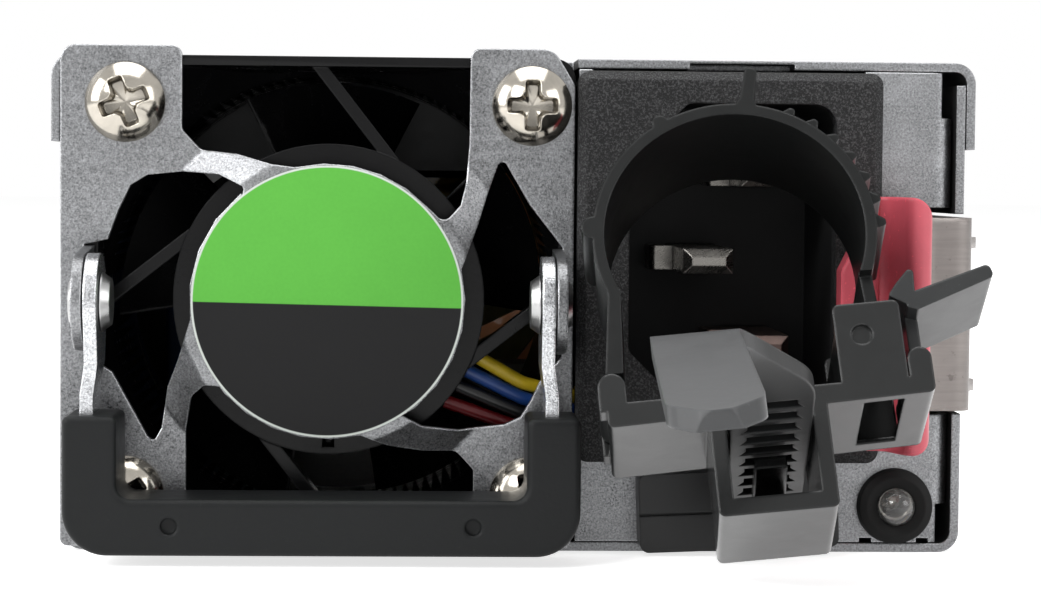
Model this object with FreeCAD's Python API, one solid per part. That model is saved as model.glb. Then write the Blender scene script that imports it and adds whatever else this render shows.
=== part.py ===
import FreeCAD, Part
import math
import os

# Hot swap server power supply, 1U high, seen from its handle end.
# Millimetres. While it is drawn, the front of the case is y = 0, X runs to the
# right, Y runs into the supply and Z runs up from the bottom of the case.
# The files are written with the origin in the middle of the bottom.

V = FreeCAD.Vector
X_AXIS = V(1, 0, 0)
Y_AXIS = V(0, 1, 0)
Z_AXIS = V(0, 0, 1)

# ---- case ---------------------------------------------------------------
case_width = 73.5
case_height = 39.3
case_length = 185.0
sheet = 0.7                 # steel of the case
bend = 1.0                  # inside of the outer bends
lap_height = 6.9            # height of the cover's skirts
lap_gap = 0.1               # between two sheets that lie on each other
panel_sheet = 0.7           # steel of the front panel
seat = 0.3                  # air between neighbours that only stand beside each other

half_width = case_width / 2
inner_half = half_width - sheet - lap_gap
wall_face = inner_half - sheet               # inner faces of the tray's walls
skirt_bottom = case_height - lap_height

# ---- fan ----------------------------------------------------------------
fan_x = -14.8
fan_z = 20.0
fan_width = 39.0
frame_low = 1.0
frame_high = 38.3
flange_top = 39.3           # the front flange fills a notch in the cover
mouth_half = 18.55
flange_depth = 6.0
fan_depth = 28.0
fan_front = 0.3             # front face of the frame, behind the guard
fan_bore = 18.2
hole_span_x = 32.0
hole_span_z = 31.0
stator_ring = 12.4          # radius of the motor's carrier at the front
hub_radius = 10.6
blade_count = 5
blade_gap = 0.6             # air between blade tips and bore
shaft_radius = 1.0

# ---- guard --------------------------------------------------------------
guard_sheet = 0.8
guard_front = 1.0           # how far its face stands before the case
guard_top = 40.0
guard_left = -35.9
guard_right = 4.6
disc_radius = 10.8
disc_rise = 2.4             # the middle stands this far out
dish_foot = 15.4            # radius where the dish runs out into the flat
label_radius = 10.65
label_thick = 0.15

# ---- handle -------------------------------------------------------------
pivot_y = -6.0
pivot_z = 20.0
arm_sheet = 1.0
arm_width = 5.0
eye_radius = 3.75
arm_gap = 0.15              # between ear and arm
arm_joggle = 0.35
grip_width = 39.4
grip_bottom = 0.9
grip_top = 11.5
grip_leg = 4.1
grip_bar = 4.3
grip_back = 3.7             # behind this it would touch the screw heads
grip_depth = 6.8
rivet_radius = 1.5
rivet_head = 2.3
running = 0.06              # radial clearance of every pin that turns

# ---- power inlet --------------------------------------------------------
bezel_left = 4.85
bezel_right = 29.1
bezel_bottom = 7.3
bezel_top = 38.35
bezel_proud = 2.0
cavity_x = 17.15
cavity_z = 23.75
cavity_width = 16.4
cavity_height = 24.2
cavity_depth = 17.0
inlet_depth = 25.0
pin_width = 4.0
pin_thick = 2.0
pin_length = 14.0
earth_x = 15.5
line_x = 20.2
pin_span = 14.0
pin_z = 23.3

# ---- latch --------------------------------------------------------------
leaf_sheet = 0.6
leaf_low = 11.5
leaf_high = 26.95
leaf_pivot_y = 44.0
leaf_rear_y = 49.0
leaf_front = -0.95          # front face of its flange
leaf_rivet = 1.2
leaf_inset = 2.1            # the riveted end lies this far inside the outer face
anchor_x = half_width - leaf_inset - leaf_sheet - 1.1
hook_reach = 2.0
tab_left = 25.3
tab_right = 31.9
tab_low = 8.7
tab_high = 28.6
tab_front = -9.0
tab_back = -3.0             # clears the bezel all the way of a press

# ---- light --------------------------------------------------------------
led_x = 30.7
led_z = 3.75
led_radius = 1.5
grommet_radius = 3.05

# ---- cord retainer ------------------------------------------------------
strap_root = V(19.5, -3.4, 2.75)
strap_yaw = 6.0
strap_pitch = 24.0
strap_roll = 6.5
strap_width = 5.7
strap_thick = 1.2
strap_free = 33.0           # the slider can go this far out
strap_straight = 43.0
tongue_shift = 5.5          # the loose end lies this far to the left
tongue_drop = 31.0          # degrees that the end hangs down
tongue_length = 25.5
clamp_front = -24.0
clamp_length = 12.0
ring_x = -0.9
ring_z = 15.0
ring_radius = 9.5           # inside
ring_wall = 0.85
bar_left = -10.4
bar_right = 12.0
bar_low = 0.9
bar_high = 2.7

# ---- boards and parts inside -------------------------------------------
board_z = 5.0
board_thick = 1.6
board_front = 34.0
edge_reach = 9.0            # how far the gold fingers stand out at the rear


def box(x0, y0, z0, x1, y1, z1):
    return Part.makeBox(x1 - x0, y1 - y0, z1 - z0, V(x0, y0, z0))


def rod(start, radius, length, axis=Y_AXIS):
    return Part.makeCylinder(radius, length, start, axis)


def outline(points, closed=True):
    """Wire through 3-D points; a fourth value rounds that corner."""
    edges = []
    count = len(points)
    joints = []
    for i, point in enumerate(points):
        here = V(*point[:3])
        radius = point[3] if len(point) > 3 else 0
        if radius and (closed or 0 < i < count - 1):
            to_last = (V(*points[i - 1][:3]) - here).normalize()
            to_next = (V(*points[(i + 1) % count][:3]) - here).normalize()
            half = to_last.getAngle(to_next) / 2
            run = radius / math.tan(half)
            middle = (to_last + to_next).normalize() * (radius / math.sin(half) - radius)
            joints.append((here + to_last * run, here + middle, here + to_next * run))
        else:
            joints.append((here, None, here))
    for i, (start, middle, end) in enumerate(joints):
        if middle is not None:
            edges.append(Part.Arc(start, middle, end).toShape())
        if closed or i < count - 1:
            following = joints[(i + 1) % count][0]
            if (following - end).Length > 1e-6:
                edges.append(Part.LineSegment(end, following).toShape())
    return Part.Wire(edges)


def on_xz(points, y):
    return [(p[0], y, p[1]) + tuple(p[2:]) for p in points]


def on_xy(points, z):
    return [(p[0], p[1], z) + tuple(p[2:]) for p in points]


def on_yz(points, x):
    return [(x, p[0], p[1]) + tuple(p[2:]) for p in points]


def plate_xz(points, y0, y1):
    return Part.Face(outline(on_xz(points, y0))).extrude(V(0, y1 - y0, 0))


def plate_xy(points, z0, z1):
    return Part.Face(outline(on_xy(points, z0))).extrude(V(0, 0, z1 - z0))


def plate_yz(points, x0, x1):
    return Part.Face(outline(on_yz(points, x0))).extrude(V(x1 - x0, 0, 0))


def bent(points, thickness):
    """Section of a bent sheet: an open line of 3-D points and its offset."""
    return outline(points, closed=False).makeOffset2D(thickness, 0, True, True)


def edges_at(shape, y):
    """Edges that lie wholly in one plane across the depth."""
    return [e for e in shape.Edges if abs(e.BoundBox.YMin - y) < 1e-3 and abs(e.BoundBox.YMax - y) < 1e-3]


def fuse(first, *others):
    return first.multiFuse(list(others)).removeSplitter()


def rounded_box(x0, y0, z0, x1, y1, z1, radius, axis="y"):
    """Box whose four edges along one axis are rounded."""
    if axis == "y":
        corners = [(x0, z0, radius), (x1, z0, radius), (x1, z1, radius), (x0, z1, radius)]
        return plate_xz(corners, y0, y1)
    if axis == "z":
        corners = [(x0, y0, radius), (x1, y0, radius), (x1, y1, radius), (x0, y1, radius)]
        return plate_xy(corners, z0, z1)
    corners = [(y0, z0, radius), (y1, z0, radius), (y1, z1, radius), (y0, z1, radius)]
    return plate_yz(corners, x0, x1)


parts = {}


# ---- case ---------------------------------------------------------------
def case_base():
    """Tray: bottom and side walls that stand inside the cover's skirts."""
    top = case_height - sheet - bend - lap_gap
    section = [
        (-inner_half, 0, top),
        (-inner_half, 0, 0, bend + sheet),
        (inner_half, 0, 0, bend + sheet),
        (inner_half, 0, top),
    ]
    tray = bent(section, sheet).extrude(V(0, case_length, 0))
    # window in the right wall that the latch leaf lies in
    window = box(half_width - 3 * sheet, -1, leaf_low - seat,
                 half_width + 1, leaf_pivot_y - 6.0, leaf_high + seat)
    tray = tray.cut(window)
    for x, y in standoff_places():
        tray = tray.cut(rod(V(x, y, -1), 1.3, sheet + 2, Z_AXIS))
    for z in rivet_heights():
        tray = tray.cut(rivet_sink(z, 0.02))
    return tray


def cover():
    """Lid with two skirts, lips at both ends and slots in the front lip."""
    top = case_height
    section = [
        (-half_width, 0, skirt_bottom),
        (-half_width, 0, top, bend + sheet),
        (half_width, 0, top, bend + sheet),
        (half_width, 0, skirt_bottom),
    ]
    lid = bent(section, -sheet).extrude(V(0, case_length, 0))
    slot = plate_xz([(13.8, top - 0.75), (22.2, top - 0.75), (22.2, top - 0.25), (13.8, top - 0.25)],
                    -1, 3.0)
    notch = box(fan_x - fan_width / 2 - 0.2, -1, top - 2, fan_x + fan_width / 2 + 0.2,
                fan_front + flange_depth + 0.2, top + 1)
    lid = lid.cut(slot).cut(notch)
    for x, y in cover_screw_places():
        lid = lid.cut(Part.makeCone(1.2, 2.7, 1.5, V(x, y, top - 1.5 + 0.02), Z_AXIS))
    # cooling slots near the rear
    pitch = 5.0
    for i in range(9):
        x = (i - 4) * pitch
        slot = rounded_box(x - 1.1, case_length - 24, top - 2, x + 1.1, case_length - 12, top + 1, 1.05, "z")
        lid = lid.cut(slot)
    return lid


def cover_screw_places():
    inset = 7.0
    return [(side * (half_width - inset), y) for side in (-1, 1) for y in (60.0, case_length - 34.0)]


def cover_screws():
    """Countersunk screws that go into brackets on the board's heatsinks."""
    screws = []
    top = case_height
    for x, y in cover_screw_places():
        head = Part.makeCone(1.1, 2.5, 1.4, V(x, y, top - 1.42), Z_AXIS)
        shank = rod(V(x, y, top - 6.0), 1.1, 4.6, Z_AXIS)
        cross = fuse(box(x - 1.3, y - 0.25, top - 0.7, x + 1.3, y + 0.25, top + 1),
                     box(x - 0.25, y - 1.3, top - 0.7, x + 0.25, y + 1.3, top + 1))
        screws.append(fuse(head, shank).cut(cross))
    return Part.makeCompound(screws)


def cover_brackets():
    """Small angles on the side walls that the cover screws bite into."""
    brackets = []
    for x, y in cover_screw_places():
        side = 1 if x > 0 else -1
        wall = half_width - 2 * (sheet + lap_gap)
        top = case_height - sheet - lap_gap
        section = [
            (side * wall, y, top - 7.0),
            (side * wall, y, top, 1.2),
            (side * (wall - 9.0), y, top),
        ]
        angle = bent(section, side * 0.8).extrude(V(0, 9.0, 0))
        angle.translate(V(0, -4.5, 0))
        angle = angle.cut(rod(V(x, y, top - 3), 1.12, 6, Z_AXIS))
        angle = angle.cut(Part.makeCone(1.12, 2.52, 1.4, V(x, y, case_height - 1.42), Z_AXIS))
        brackets.append(angle)
    return Part.makeCompound(brackets)


def rear_panel():
    """Rear wall: hexagonal air holes above, a mouth for the edge connector below."""
    x = wall_face - 0.1
    low = sheet + lap_gap
    high = case_height - sheet - lap_gap
    y = case_length - 1.2
    wall = plate_xz([(-x, low, 1.0), (x, low, 1.0), (x, high, 1.0), (-x, high, 1.0)], y, y + panel_sheet)
    mouth = rounded_box(-edge_width / 2 - 1.5, y - 1, board_z - 2.0,
                        edge_width / 2 + 1.5, y + 2, board_z + 4.6, 0.8)
    wall = wall.cut(mouth)
    hole = 2.0
    pitch = 5.2
    hexagon = [(hole * math.cos(math.radians(60 * k + 30)), hole * math.sin(math.radians(60 * k + 30)))
               for k in range(6)]
    holes = []
    for row in range(5):
        shift = pitch / 2 if row % 2 else 0
        for column in range(12):
            cx = (column - 5.75) * pitch + shift
            cz = 14.5 + row * pitch * math.sin(math.radians(60))
            if abs(cx) < x - 3.0:
                holes.append(plate_xz([(cx + u, cz + v) for u, v in hexagon], y - 1, y + 2))
    return wall.cut(Part.makeCompound(holes))


def front_panel():
    """Front plate right of the fan, with a side flange and all its cut-outs."""
    right = wall_face - lap_gap
    low = sheet + lap_gap
    high = case_height - sheet - lap_gap
    left = fan_x + fan_width / 2 + seat
    section = [
        (left, 0, low),
        (right, 0, low, bend + panel_sheet),
        (right, 13.0, low),
    ]
    panel = bent(section, -panel_sheet).extrude(V(0, 0, high - low))
    panel = panel.cut(plate_xz([(bezel_left + 1.2, bezel_bottom + 1.2, 0.8),
                                (bezel_right - 1.2, bezel_bottom + 1.2, 0.8),
                                (bezel_right - 1.2, high + 1),
                                (bezel_left + 1.2, high + 1)], -2, 3))
    notch = box(31.2, -2, leaf_low - 0.4, right + 2, 14, leaf_high + 0.8)
    corner_low = box(right - 1.1, -2, 0, right + 2, 14, 3.9)
    corner_high = box(right - 1.1, -2, 34.9, right + 2, 14, high + 1)
    panel = panel.cut(notch).cut(corner_low).cut(corner_high)
    panel = panel.cut(rod(V(led_x, -2, led_z), grommet_radius - 0.75, 5))
    for x in (led_x - 2.3, led_x + 2.3):
        panel = panel.cut(box(x - 0.5, -2, 0, x + 0.5, 5, low + 0.35))
    for x in snap_places():
        panel = panel.cut(rod(V(x, -2, snap_z), 1.65, 5))
    return panel


# ---- fan ----------------------------------------------------------------
def fan_corners(half_x, half_z, cut):
    """Rectangle with its corners cut off, round the fan's axis."""
    return [
        (fan_x - half_x + cut, fan_z - half_z),
        (fan_x + half_x - cut, fan_z - half_z),
        (fan_x + half_x, fan_z - half_z + cut),
        (fan_x + half_x, fan_z + half_z - cut),
        (fan_x + half_x - cut, fan_z + half_z),
        (fan_x - half_x + cut, fan_z + half_z),
        (fan_x - half_x, fan_z + half_z - cut),
        (fan_x - half_x, fan_z - half_z + cut),
    ]


def screw_places():
    return [(fan_x + sx * hole_span_x / 2, fan_z + sz * hole_span_z / 2)
            for sz in (1, -1) for sx in (-1, 1)]


strut_count = 4
strut_thick = 0.8
strut_depth = 2.2
carrier_depth = 5.0
funnel_depth = 5.0


def fan_frame():
    """Frame with an eight-cornered mouth that narrows to the bore, and the motor's carrier."""
    half_x = fan_width / 2
    x0 = fan_x - half_x
    x1 = fan_x + half_x
    y1 = fan_front + fan_depth
    frame = rounded_box(x0, fan_front, frame_low, x1, y1, frame_high, 1.6)
    flange = rounded_box(x0, fan_front, frame_low, x1, fan_front + flange_depth, flange_top, 1.6)
    frame = fuse(frame, flange)
    frame = frame.cut(rod(V(fan_x, fan_front - 1, fan_z), fan_bore, fan_depth + 2))
    mouth = outline(on_xz(fan_corners(half_x - 1.2, mouth_half, 5.2), fan_front - 0.01))
    throat = outline(on_xz(fan_corners(fan_bore - 0.05, fan_bore - 0.05, 10.6), fan_front + funnel_depth))
    frame = frame.cut(Part.makeLoft([mouth, throat], True, True))
    for x, z in screw_places():
        frame = frame.cut(rod(V(x, fan_front - 1, z), screw_shank + 0.1, 9.0))
    # waist between the two flanges
    waist = 7.0
    for sx in (-1, 1):
        x = fan_x + sx * half_x
        pocket = box(x - 2.4, fan_front + waist, fan_z - 9.5, x + 2.4, y1 - waist, fan_z + 9.5)
        frame = frame.cut(pocket.cut(rod(V(fan_x, 0, fan_z), fan_bore + 0.9, fan_depth + 5)))
    frame = frame.cut(wire_notch())
    # motor carrier at the front: a dish on four struts that stand off its rim at a slant
    y0 = fan_front + 0.4
    carrier = rod(V(fan_x, y0, fan_z), stator_ring, carrier_depth)
    carrier = carrier.cut(rod(V(fan_x, y0 + 1.2, fan_z), stator_ring - 1.0, carrier_depth))
    carrier = carrier.cut(rod(V(fan_x, y0 - 1, fan_z - stator_ring + 1.0), 0.45, 4))
    carrier = carrier.cut(rod(V(fan_x, y0 - 1, fan_z), shaft_radius + 0.4, 4))
    struts = []
    reach = stator_ring + 12.5
    for k in range(strut_count):
        strut = box(stator_ring * 0.72, y0, -strut_thick / 2, reach, y0 + strut_depth, strut_thick / 2)
        strut = strut.cut(rod(V(0, y0 - 1, 0), stator_ring - 0.5, 10))
        strut.rotate(V(stator_ring, 0, 0), Y_AXIS, 24)
        strut.rotate(V(0, 0, 0), Y_AXIS, -62 + k * 360 / strut_count)
        strut.translate(V(fan_x, 0, fan_z))
        struts.append(strut)
    limit = box(x0 + 0.4, 0, frame_low + 0.2, x1 - 0.4, 20, flange_top - 0.3)
    limit = limit.cut(rod(V(fan_x, 0, fan_z), stator_ring - 0.6, 30))
    return fuse(frame, carrier, *[strut.common(limit) for strut in struts])


rotor_front = fan_front + 0.4 + carrier_depth + 0.6
rotor_length = 14.0
wall_thick = 0.9


def fan_rotor():
    """Hub cup with swept blades, each lofted from a steep root to a flatter tip."""
    y0 = rotor_front
    cup = rod(V(fan_x, y0, fan_z), hub_radius, rotor_length)
    cup = cup.cut(rod(V(fan_x, y0 - 1, fan_z), hub_radius - wall_thick, rotor_length - 0.4))
    boss = rod(V(fan_x, y0 + rotor_length - 4.0, fan_z), 2.4, 3.5)
    cup = fuse(cup, boss).cut(rod(V(fan_x, y0 - 1, fan_z), shaft_radius, rotor_length + 3))
    tip = fan_bore - blade_gap
    blades = []
    for k in range(blade_count):
        sections = []
        for radius, angle in ((hub_radius - 0.4, 42), ((hub_radius + tip) / 2, 34), (tip + 0.4, 27)):
            chord = 1.55 * radius * math.sin(math.pi / blade_count) + 2.0
            lean = math.radians(angle)
            along = V(math.cos(lean), math.sin(lean), 0)
            side = V(-math.sin(lean), math.cos(lean), 0)
            middle = y0 + rotor_length / 2
            half = min(chord / 2, (rotor_length / 2 - 0.6) / math.sin(lean))
            ends = [along * half * u + V(0, middle, radius) for u in (-1, 1)]
            over = side * 0.9 + V(0, middle, radius)
            under = side * 0.2 + V(0, middle, radius)
            sections.append(Part.Wire([Part.Arc(ends[0], over, ends[1]).toShape(),
                                       Part.Arc(ends[1], under, ends[0]).toShape()]))
        blade = Part.makeLoft(sections, True, True)
        blade.rotate(V(0, 0, 0), Y_AXIS, k * 360 / blade_count)
        blade.translate(V(fan_x, 0, fan_z))
        blades.append(blade)
    reach = rod(V(fan_x, y0, fan_z), tip, rotor_length)
    reach = reach.cut(rod(V(fan_x, y0 - 1, fan_z), hub_radius - 0.5, rotor_length + 2))
    return fuse(cup, *[blade.common(reach) for blade in blades])


def fan_shaft():
    y0 = fan_front + 0.4 + 1.4
    shaft = rod(V(fan_x, y0, fan_z), shaft_radius, rotor_front + rotor_length - y0 - 0.1)
    return shaft


def bearings():
    rings = []
    for y in (rotor_front + 0.2, rotor_front + 5.4):
        ring = rod(V(fan_x, y, fan_z), 2.0, 1.6)
        ring = ring.cut(rod(V(fan_x, y - 1, fan_z), shaft_radius + running, 4))
        rings.append(ring)
    return Part.makeCompound(rings)


def bearing_tube():
    """Tube on the carrier that holds both bearings."""
    y0 = fan_front + 0.4 + 1.2
    tube = rod(V(fan_x, y0, fan_z), 2.8, rotor_front + 7.4 - y0)
    tube = tube.cut(rod(V(fan_x, y0 - 1, fan_z), 2.02, 30))
    return tube


def motor_stator():
    """Four-armed laminations with a coil on each arm."""
    y0 = rotor_front + 1.2
    pieces = [rod(V(fan_x, y0, fan_z), 4.2, 5.0)]
    for k in range(4):
        arm = box(3.0, y0, -0.9, 8.2, y0 + 5.0, 0.9)
        coil = rounded_box(4.4, y0 - 0.6, -2.0, 7.2, y0 + 5.6, 2.0, 0.9, "x")
        shoe = rod(V(0, y0, 0), 9.0, 5.0).cut(rod(V(0, y0 - 1, 0), 8.0, 7.0))
        shoe = shoe.common(box(4, y0 - 1, -4.8, 10, y0 + 6, 4.8))
        piece = fuse(arm, coil, shoe)
        piece.rotate(V(0, 0, 0), Y_AXIS, k * 90)
        piece.translate(V(fan_x, 0, fan_z))
        pieces.append(piece)
    return fuse(*pieces).cut(rod(V(fan_x, 0, fan_z), 2.83, 40))


def motor_board():
    y0 = fan_front + 0.4 + 1.2 + 1.0
    board = rod(V(fan_x, y0, fan_z), stator_ring - 1.4, 1.0)
    return board.cut(rod(V(fan_x, 0, fan_z), 3.0, 20))


wire_radius = 0.55


def wire_start(index):
    return fan_z - 4.6 - index * 1.25


def fan_wire(index):
    """Lead from the motor carrier across the air gap and back beside the frame."""
    y = fan_front + 3.6
    z = wire_start(index)
    side = fan_x + fan_width / 2 + 1.25
    start_x = fan_x + math.sqrt(stator_ring ** 2 - (z - fan_z) ** 2) + 0.2
    route = [
        (start_x, y, z),
        (fan_x + 15.6, y, z - 2.2, 3.0),
        (side, y + 0.6, z - 3.6, 1.6),
        (side, y + 9.0, z - 3.6),
    ]
    wire = outline(route, closed=False)
    start = V(*route[0])
    heading = (V(*route[1][:3]) - start).normalize()
    ring = Part.Wire(Part.Circle(start, heading, wire_radius).toShape())
    return wire.makePipeShell([ring], True, False)


def wire_notch():
    """Cut in the frame's right wall that the four leads leave through."""
    side = fan_x + fan_width / 2
    high = wire_start(0) + 0.6
    low = wire_start(3) - 4.6
    return box(fan_x + 15.0, fan_front + 2.2, low, side + 1, fan_front + 7.4, high)


screw_shank = 1.5
screw_head = 3.15


def fan_screws():
    """Pan-head screws with a cross recess, each turned its own way."""
    screws = []
    face = -guard_front
    turns = (22, 0, 35, 12)
    for (x, z), turn in zip(screw_places(), turns):
        height = 2.3
        ball = (screw_head ** 2 + height ** 2) / (2 * height) + 0.35
        dome = Part.makeSphere(ball, V(x, face - height + ball, z))
        head = rod(V(x, face - height, z), screw_head, height).common(dome)
        shank = rod(V(x, face, z), screw_shank, 7.4)
        cross = fuse(box(-2.1, face - 4, -0.62, 2.1, face - 0.7, 0.62),
                     box(-0.62, face - 4, -2.1, 0.62, face - 0.7, 2.1))
        taper = Part.makeCone(2.35, 0.9, 1.9, V(0, face - height, 0), Y_AXIS)
        cross = cross.common(taper)
        cross.rotate(V(0, 0, 0), Y_AXIS, -turn)
        cross.translate(V(x, 0, z))
        screws.append(fuse(head, shank).cut(cross))
    return Part.makeCompound(screws)


# ---- guard --------------------------------------------------------------
def disc_arc(start, end, radius):
    """Points on the disc's rim from one angle to another, in degrees."""
    count = max(2, int(abs(end - start) / 12))
    points = []
    for i in range(count + 1):
        a = math.radians(start + (end - start) * i / count)
        points.append((fan_x + radius * math.cos(a), fan_z + radius * math.sin(a)))
    return points


def guard_windows():
    """The four openings between the pinwheel's arms."""
    r = disc_radius
    top = [(-26.4, 42), (-26.4, 33.4, 0.6), (-24.9, 31.8, 0.8), (-22.0, 31.5), (-19.2, 30.7)]
    top += disc_arc(104, 43, r)
    top += [(-5.7, 26.2, 0.7), (-4.4, 27.6), (-3.95, 29.4), (-3.7, 32.5), (-3.65, 42)]
    left = [(-21.5, 28.2), (-21.3, 28.9, 0.4), (-23.4, 29.9), (-26.3, 30.1), (-29.1, 29.8),
            (-30.4, 29.0), (-31.4, 26.9), (-32.2, 24.7), (ear_left, 24.3), (ear_left, 15.6),
            (-31.8, 14.2), (-29.0, 9.1), (-28.5, 8.7, 0.3), (-27.9, 9.8), (-27.4, 13.1), (-26.5, 15.3)]
    left += disc_arc(188, 129, r)
    bottom = [(-26.0, -2), (-26.0, 9.7), (-25.5, 12.4, 0.6), (-24.4, 13.4, 0.6), (-23.2, 13.3)]
    bottom += disc_arc(222, 284, r)
    bottom += [(-10.0, 8.7), (-7.3, 8.2), (-4.6, 8.1, 0.8), (-3.2, 6.6, 0.6), (-3.2, -2)]
    right = [(-8.9, 11.1), (-7.3, 10.2), (-4.4, 9.8), (-0.8, 10.2), (0.5, 10.8), (1.3, 12.1), (2.0, 13.6),
             (ear_right, 15.6), (ear_right, 24.3), (1.1, 27.7), (-1.2, 31.6, 0.4), (-2.2, 28.7), (-3.1, 25.9)]
    right += disc_arc(14, -50, r)
    return [top, left, bottom, right]


ear_left = -34.05           # outer faces of the handle's ears
ear_right = 3.75


def ear(x0, x1):
    root = -guard_front + 0.3
    flat = plate_yz([(root, pivot_z - 4.2), (root, pivot_z + 4.2), (pivot_y, pivot_z + eye_radius),
                     (pivot_y, pivot_z - eye_radius)], x0, x1)
    eye = rod(V(x0, pivot_y, pivot_z), eye_radius, x1 - x0, X_AXIS)
    hole = rod(V(x0 - 1, pivot_y, pivot_z), rivet_radius, x1 - x0 + 2, X_AXIS)
    return fuse(flat, eye).cut(hole)


def fan_guard():
    """Pinwheel guard: a dished stamping with two lugs, a side flange and two ears."""
    front = -guard_front
    back = front + guard_sheet
    rise = disc_rise
    profile = outline([
        (fan_x, front - rise, fan_z),
        (fan_x + disc_radius + 0.6, front - rise, fan_z, 0.8),
        (fan_x + dish_foot, front, fan_z, 0.8),
        (fan_x + 60, front, fan_z),
        (fan_x + 60, back, fan_z),
        (fan_x + dish_foot - 0.3, back, fan_z, 0.8),
        (fan_x + disc_radius + 0.3, back - rise, fan_z, 0.8),
        (fan_x, back - rise, fan_z),
    ])
    dish = Part.Face(profile).revolve(V(fan_x, 0, fan_z), Y_AXIS, 360)
    low = 0.4
    shape = [
        (guard_left, low, 0.6), (guard_right, low, 0.6),
        (guard_right, 37.2, 1.2), (2.9, guard_top, 1.6), (-3.66, guard_top, 0.8),
        (-3.66, 38.6), (-26.4, 38.6), (-26.4, guard_top, 0.8), (guard_left, guard_top, 1.2),
    ]
    blank = plate_xz(shape, front - rise - 1, back + 1)
    for window in guard_windows():
        blank = blank.cut(plate_xz(window, front - rise - 2, back + 2))
    for x, z in screw_places():
        blank = blank.cut(rod(V(x, front - 2, z), screw_shank + 0.15, 5))
    sheet_metal = dish.common(blank)
    side = -wall_face + lap_gap
    flange = box(side, back - 0.3, low + 1.8, side + guard_sheet, back + 8.0, 30.0)
    flange = flange.cut(box(side - 1, back + 0.6, 14.0, side + 2, back + 9, 16.0))
    ears = [ear(ear_left, ear_left + guard_sheet), ear(ear_right - guard_sheet, ear_right)]
    return fuse(sheet_metal, flange, *ears)


def hub_label():
    y = -guard_front - disc_rise
    return rod(V(fan_x, y - label_thick, fan_z), label_radius, label_thick)


# ---- handle -------------------------------------------------------------
def handle_arm(side):
    """Steel arm: round eye, a joggle outwards and a straight end inside the grip."""
    if side < 0:
        face = ear_left + guard_sheet + arm_gap
    else:
        face = ear_right - guard_sheet - arm_gap
    low = grip_bottom + grip_bar + 1.2
    out = face + side * arm_joggle
    top = pivot_z + eye_radius + 1
    back = pivot_y + eye_radius + 1
    front = pivot_y - eye_radius - 1
    line = [(face, front, top), (face, front, 15.4, 1.2), (out, front, 13.0, 1.2), (out, front, low)]
    strip = bent(line, -arm_sheet * side).extrude(V(0, back - front, 0))
    half = arm_width / 2
    shape = fuse(box(-60, pivot_y - half, low, 60, pivot_y + half, pivot_z),
                 rod(V(-60, pivot_y, pivot_z), eye_radius, 120, X_AXIS))
    for y in (pivot_y - half, pivot_y + half):
        sweep = 1 if y < pivot_y else -1
        wedge = plate_yz([(y, 14.5), (y, pivot_z), (y - sweep * (eye_radius - half), pivot_z)], -60, 60)
        shape = shape.fuse(wedge)
    arm = strip.common(shape.removeSplitter())
    return arm.cut(rod(V(-60, pivot_y, pivot_z), rivet_radius + running, 120, X_AXIS))


def handle_grip():
    """Moulded U over the ends of both arms."""
    x0 = fan_x - grip_width / 2 - 0.1
    x1 = x0 + grip_width
    y1 = -grip_back
    y0 = y1 - grip_depth
    inner = grip_bottom + grip_bar
    shape = [
        (x0, grip_top, 0.5), (x0, grip_bottom, 3.4), (x1, grip_bottom, 3.4), (x1, grip_top, 0.5),
        (x1 - grip_leg, grip_top, 0.5), (x1 - grip_leg, inner, 1.1),
        (x0 + grip_leg, inner, 1.1), (x0 + grip_leg, grip_top, 0.5),
    ]
    grip = plate_xz(shape, y0, y1)
    grip = grip.makeFillet(0.45, edges_at(grip, y0))
    for x in (x0 + 8.1, x1 - 8.2):
        grip = grip.cut(rod(V(x, y0 - 1, grip_bottom + 2.3), 0.65, 1.5))
    for side in (-1, 1):
        grip = grip.cut(handle_arm(side))
    return grip


def handle_rivets():
    """Shouldered rivets, fixed in the ears, that the arms turn on."""
    rivets = []
    for side, outer in ((-1, ear_left), (1, ear_right)):
        inner = outer - side * (guard_sheet + arm_gap + arm_sheet + 0.1)
        x0, x1 = sorted((outer, inner))
        shank = rod(V(x0, pivot_y, pivot_z), rivet_radius, x1 - x0, X_AXIS)
        head = Part.makeCone(rivet_head, rivet_head - 0.5, 0.7, V(inner, pivot_y, pivot_z), V(-side, 0, 0))
        clinch = Part.makeCone(rivet_head - 0.3, rivet_head - 0.7, 0.45, V(outer, pivot_y, pivot_z),
                               V(side, 0, 0))
        rivets.append(fuse(shank, head, clinch))
    return Part.makeCompound(rivets)


# ---- power inlet --------------------------------------------------------
def cavity_outline(grow):
    """Keyed socket shape: two corners cut off on the earth pin's side."""
    x0 = cavity_x - cavity_width / 2 - grow
    x1 = cavity_x + cavity_width / 2 + grow
    z0 = cavity_z - cavity_height / 2 - grow
    z1 = cavity_z + cavity_height / 2 + grow
    key = 4.6
    return [(x0 + key, z0, 1.0), (x1, z0, 1.8), (x1, z1, 1.8), (x0 + key, z1, 1.0),
            (x0, z1 - key, 1.0), (x0, z0 + key, 1.0)]


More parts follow.
